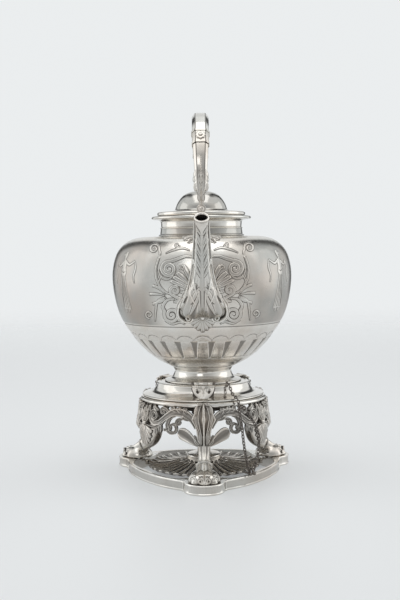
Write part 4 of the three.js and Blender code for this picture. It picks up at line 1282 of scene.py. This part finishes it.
def arms_and_screws():
    arm = Build()
    slab(arm, (-4, -70.4, 4.1), (4, -38.4, 6.6))
    slab(arm, (-4, -70.4, 1.6), (4, -67.4, 7.1))
    copies(arm, LEG_ANGLES, "arm_", "stand", CAST, "dish_arm_", slot="cast_silver")
    screw = Build()
    profile = rounded([(0.01, 1.4), (3.5, 1.4), (3.5, 3.2), (1.7, 3.8), (1.7, 18.4), (0.01, 19)], 0.4, 2)
    lathe(screw, profile, 2, (0, -84, 0), 40)
    copies(screw, LEG_ANGLES, "screw_", "stand", DARK, "leg_screw_", slot="dark_steel")


# ---- Lamp ----


def lamp():
    font = [
        (0.01, 9.4), (15.4, 9.4), (18, 10.6), (18.8, 12.4), (18.4, 14), (18.4, 19), (18.9, 20),
        (17.8, 21.6), (15, 22.6), (9, 23.2), (7, 23.6), (7, 25), (5, 25), (5, 21.6), (15.6, 20.8),
        (17.2, 19), (17.2, 12.6), (14.6, 11), (0.01, 11),
    ]
    build = Build().revolve(rounded(font, 0.9, 3), 96, closed=False)
    build.piece("spirit_font", "lamp", CAST, "lamp_font", sharp=50)
    tube = [(2.7, 14), (4.6, 14), (4.6, 25.3), (7, 25.3), (7, 27), (5, 27.8), (4.2, 28.6), (4, 34), (2.7, 34)]
    turned_piece(
        "wick_tube", "lamp", ["wick_holder"], tube, 0.5, columns=64, material=CAST, slot="cast_silver"
    )

    def frayed(r, z, angle):
        return r * (1 + 0.06 * np.cos(angle * 7 + z * 0.8)), z, 0 * r

    wick = rounded([(0.01, 12.8), (2.2, 12.8), (2.2, 24), (2.25, 35), (1.8, 36.4), (0.01, 36.6)], 0.5, 5)
    build = Build().revolve(wick, 48, closed=False, shape=frayed)
    build.piece("cotton_wick", "lamp", COTTON, "wick", slot="cotton_wick")


# ---- Hinges, pins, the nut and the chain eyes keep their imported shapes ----


def keep(node, material):
    thing = frame["nodes"][node]
    thing.data.materials.clear()
    thing.data.materials.append(material)


# ---- Chain and lock pin ----

LEFT_ROUTE = [
    (27.4, -47.4, 103.8), (28.4, -49.4, 101), (30, -52, 96), (32.8, -56.8, 92.8), (35.4, -61.4, 91),
    (36.8, -63.8, 86), (37.4, -65, 80), (38.4, -66, 72), (39.6, -66.8, 64), (40.4, -67.4, 56),
    (41.2, -67.8, 48), (42.2, -68.2, 40), (43.4, -68.6, 32), (44.6, -68.8, 25), (45.6, -68.4, 19.6),
    (46.8, -67.5, 16.2), (48.1, -66.5, 14.9),
]
RIGHT_ROUTE = [
    (50.4, -64.7, 14.9), (51.8, -64, 16.4), (53, -64, 20), (54.4, -64, 25), (56, -63.6, 31),
    (57.2, -62.6, 38), (57.8, -60.6, 45), (57.8, -59, 51), (56.4, -58.6, 57), (54, -59.4, 63),
    (51, -60.6, 68.4), (48, -61.4, 73), (45.8, -61.4, 76.8),
]
LINK_PITCH = 3.3
LINK_HALF_LONG, LINK_HALF_WIDE, WIRE_RADIUS = 2.25, 1.4, 0.55


def chain(name, route, node):
    """A run of links along a route, every other link on edge."""
    line = smooth_line(route, 300)
    length = np.r_[0, np.cumsum(np.linalg.norm(np.diff(line, axis=0), axis=1))]
    count = int(round(length[-1] / LINK_PITCH))

    def at(s):
        s = np.clip(s, 0, length[-1])
        return np.array([np.interp(s, length, line[:, k]) for k in range(3)])

    build = Build()
    a, b = full_turn(20)[:, None], full_turn(8)[None, :, None]
    for k in range(count):
        s = (k + 0.5) / count * length[-1]
        ahead = at(s + 1) - at(s - 1)
        ahead /= np.linalg.norm(ahead)
        side = np.cross(ahead, (0.31, 0.52, 0.8))
        side /= np.linalg.norm(side)
        other = np.cross(ahead, side)
        if k % 2:
            side, other = other, -side
        loop = LINK_HALF_LONG * np.cos(a) * ahead + LINK_HALF_WIDE * np.sin(a) * side
        out = np.cos(a) * ahead + np.sin(a) * side
        ring = loop[:, None] + WIRE_RADIUS * (np.cos(b) * out[:, None] + np.sin(b) * other)
        build.grid(at(s) + ring, 0.2, wrap_rows=True)
    thing = build.piece(name, "stand", DARK, node, slot="dark_steel")


def lock_pin():
    build = Build()
    a, b = full_turn(36)[:, None], full_turn(12)[None, :]
    r = 3 + 0.8 * np.cos(b)
    ring = np.stack([0.8 * np.sin(b) + 0 * a, r * np.cos(a), 3.9 + r * np.sin(a)], -1)
    build.grid(ring, wrap_rows=True)
    profile = rounded([(0.01, -14.4), (0.9, -14.2), (1.1, -8), (1.2, -1.6), (0.01, -1.5)], 0.4, 3)
    lathe(build, profile, 1, (0, 0, 1.3), 24)

    def place(u, v, h):
        return np.stack([u, 2.2 + 0 * u + h * 0.7, 1.9 + v], -1)

    for sense in (1, -1):
        for rise in (-0.9, 0, 1.4):
            petal(build, (0.3 * sense, 0), (4.4 * sense, rise), 2, 1.4, place, DOME)
    build.points = [p @ turn_about_z(216.9).T + [49.2, -65.6, 10.8] for p in build.points]
    return build.piece("lock_pin_and_ring", "stand", DARK, "lock_pin", slot="dark_steel")


pin = lock_pin()
chain("chain_run_left", LEFT_ROUTE, "pin_chain_left")
chain("chain_run_right", RIGHT_ROUTE, "pin_chain_right")
kettle_body()
front_ornament()
figures()
spout()
spout_root()
turned_pieces()
handle()
brackets()
collar_and_ring()
clasps()
copies(leg(), LEG_ANGLES, "acanthus_leg_", "stand", CAST, "leg_")
copies(panel(), PANEL_ANGLES, "scroll_panel_", "stand", CAST, "frieze_", slot="cast_silver")
base_frame()
dish()
arms_and_screws()
lamp()
for node in ("lid_hinge_lug", "lid_hinge_leaf", "lid_finial_nut"):
    keep(node, CAST)
for node in ("lid_hinge_pin", "hinge_pin", "chain_eye_collar", "chain_eye_ring"):
    keep(node, DARK)


# ---- Floor and light ----


def studio():
    mesh = bpy.data.meshes.new("floor")
    r = FLOOR_REACH
    mesh.from_pydata([(-r, -r, 0), (r, -r, 0), (r, r, 0), (-r, r, 0)], [], [(0, 1, 2, 3)])
    floor = put("floor", mesh)
    material, nodes, shader = new_material("floor")
    nodes.fill(shader, {"Base Color": (0.5, 0.502, 0.502, 1), "Roughness": 0.5})
    # The floor glows a little: painted light that lifts the shadow under the stand
    nodes.fill(shader, {"Emission Color": (0.9, 0.93, 0.95, 1), "Emission Strength": 0.26})
    where = nodes.add("ShaderNodeTexCoord", {}, "Object")
    far = nodes.add("ShaderNodeVectorMath", {0: where}, "Value", operation="LENGTH")
    fade = nodes.ranged(far, 0.5, 3.2, kind="SMOOTHSTEP")
    clear = nodes.add("ShaderNodeBsdfTransparent", {})
    mix = nodes.add("ShaderNodeMixShader", {"Fac": fade, 1: shader.outputs["BSDF"], 2: clear})
    nodes.fill(material.node_tree.nodes["Material Output"], {"Surface": mix})
    mesh.materials.append(material)


def world():
    """A pale backdrop, dark gaps at its sides, bright sides and ceiling, a dim camera side."""
    sky = bpy.data.worlds.new("studio")
    bpy.context.scene.world = sky
    sky.use_nodes = True
    nodes = Nodes(sky.node_tree)
    where = nodes.add("ShaderNodeTexCoord", {}, "Generated")
    sideways, facing, rise = nodes.add("ShaderNodeSeparateXYZ", {0: where}).node.outputs

    def times(first, second):
        return nodes.math("MULTIPLY", first, second)

    def step(value, low, high, to_low=0, to_high=1):
        return nodes.ranged(value, low, high, to_low, to_high, "SMOOTHSTEP")

    across = nodes.math("ABSOLUTE", sideways, 0)
    front = step(facing, -0.95, -0.2, FRONT_GLOW, SIDE_GLOW)
    gap = times(times(step(across, 0.23, 0.3), step(across, 0.6, 0.42)), step(facing, 0.05, 0.35))
    backdrop = times(step(facing, 0, 0.3), step(across, 0.3, 0.23))
    light = nodes.math("ADD", front, times(backdrop, BACK_GLOW - SIDE_GLOW))
    light = nodes.math("ADD", light, times(step(rise, 0.62, 0.86), TOP_GLOW - FRONT_GLOW))
    light = nodes.math("MINIMUM", light, TOP_GLOW)
    light = times(light, nodes.math("SUBTRACT", 1, times(gap, GAP_DEPTH)))
    nodes.fill(sky.node_tree.nodes["Background"], {"Color": (0.965, 0.99, 1, 1), "Strength": light})


def softbox(name, place, target, width, height, power):
    data = bpy.data.lights.new(name, "AREA")
    data.shape = "RECTANGLE"
    data.size, data.size_y, data.energy = width, height, power
    light = put(name, data)
    light.location = place
    away = Vector(place) - Vector(target)
    light.rotation_euler = away.to_track_quat("Z", "Y").to_euler()


BACK_GLOW = 0.86
SIDE_GLOW = 0.95
FRONT_GLOW = 0.46
TOP_GLOW = 1.05
GAP_DEPTH = 0.93
FLOOR_REACH = 12

studio()
world()
MIDDLE = (0, AXIS_Y * MM, 0.2)
softbox("left_box", (-1.1, 0.1, 0.5), MIDDLE, 0.8, 1.1, 1.6)
softbox("right_box", (1.1, 0.1, 0.5), MIDDLE, 0.8, 1.1, 1.6)
softbox("top_box", (0, -0.1, 1.4), MIDDLE, 1.0, 1.0, 3)
softbox("front_box", (-0.35, -1.5, 0.9), MIDDLE, 0.6, 0.6, 1.5)

bpy.context.scene.view_settings.view_transform = "Standard"
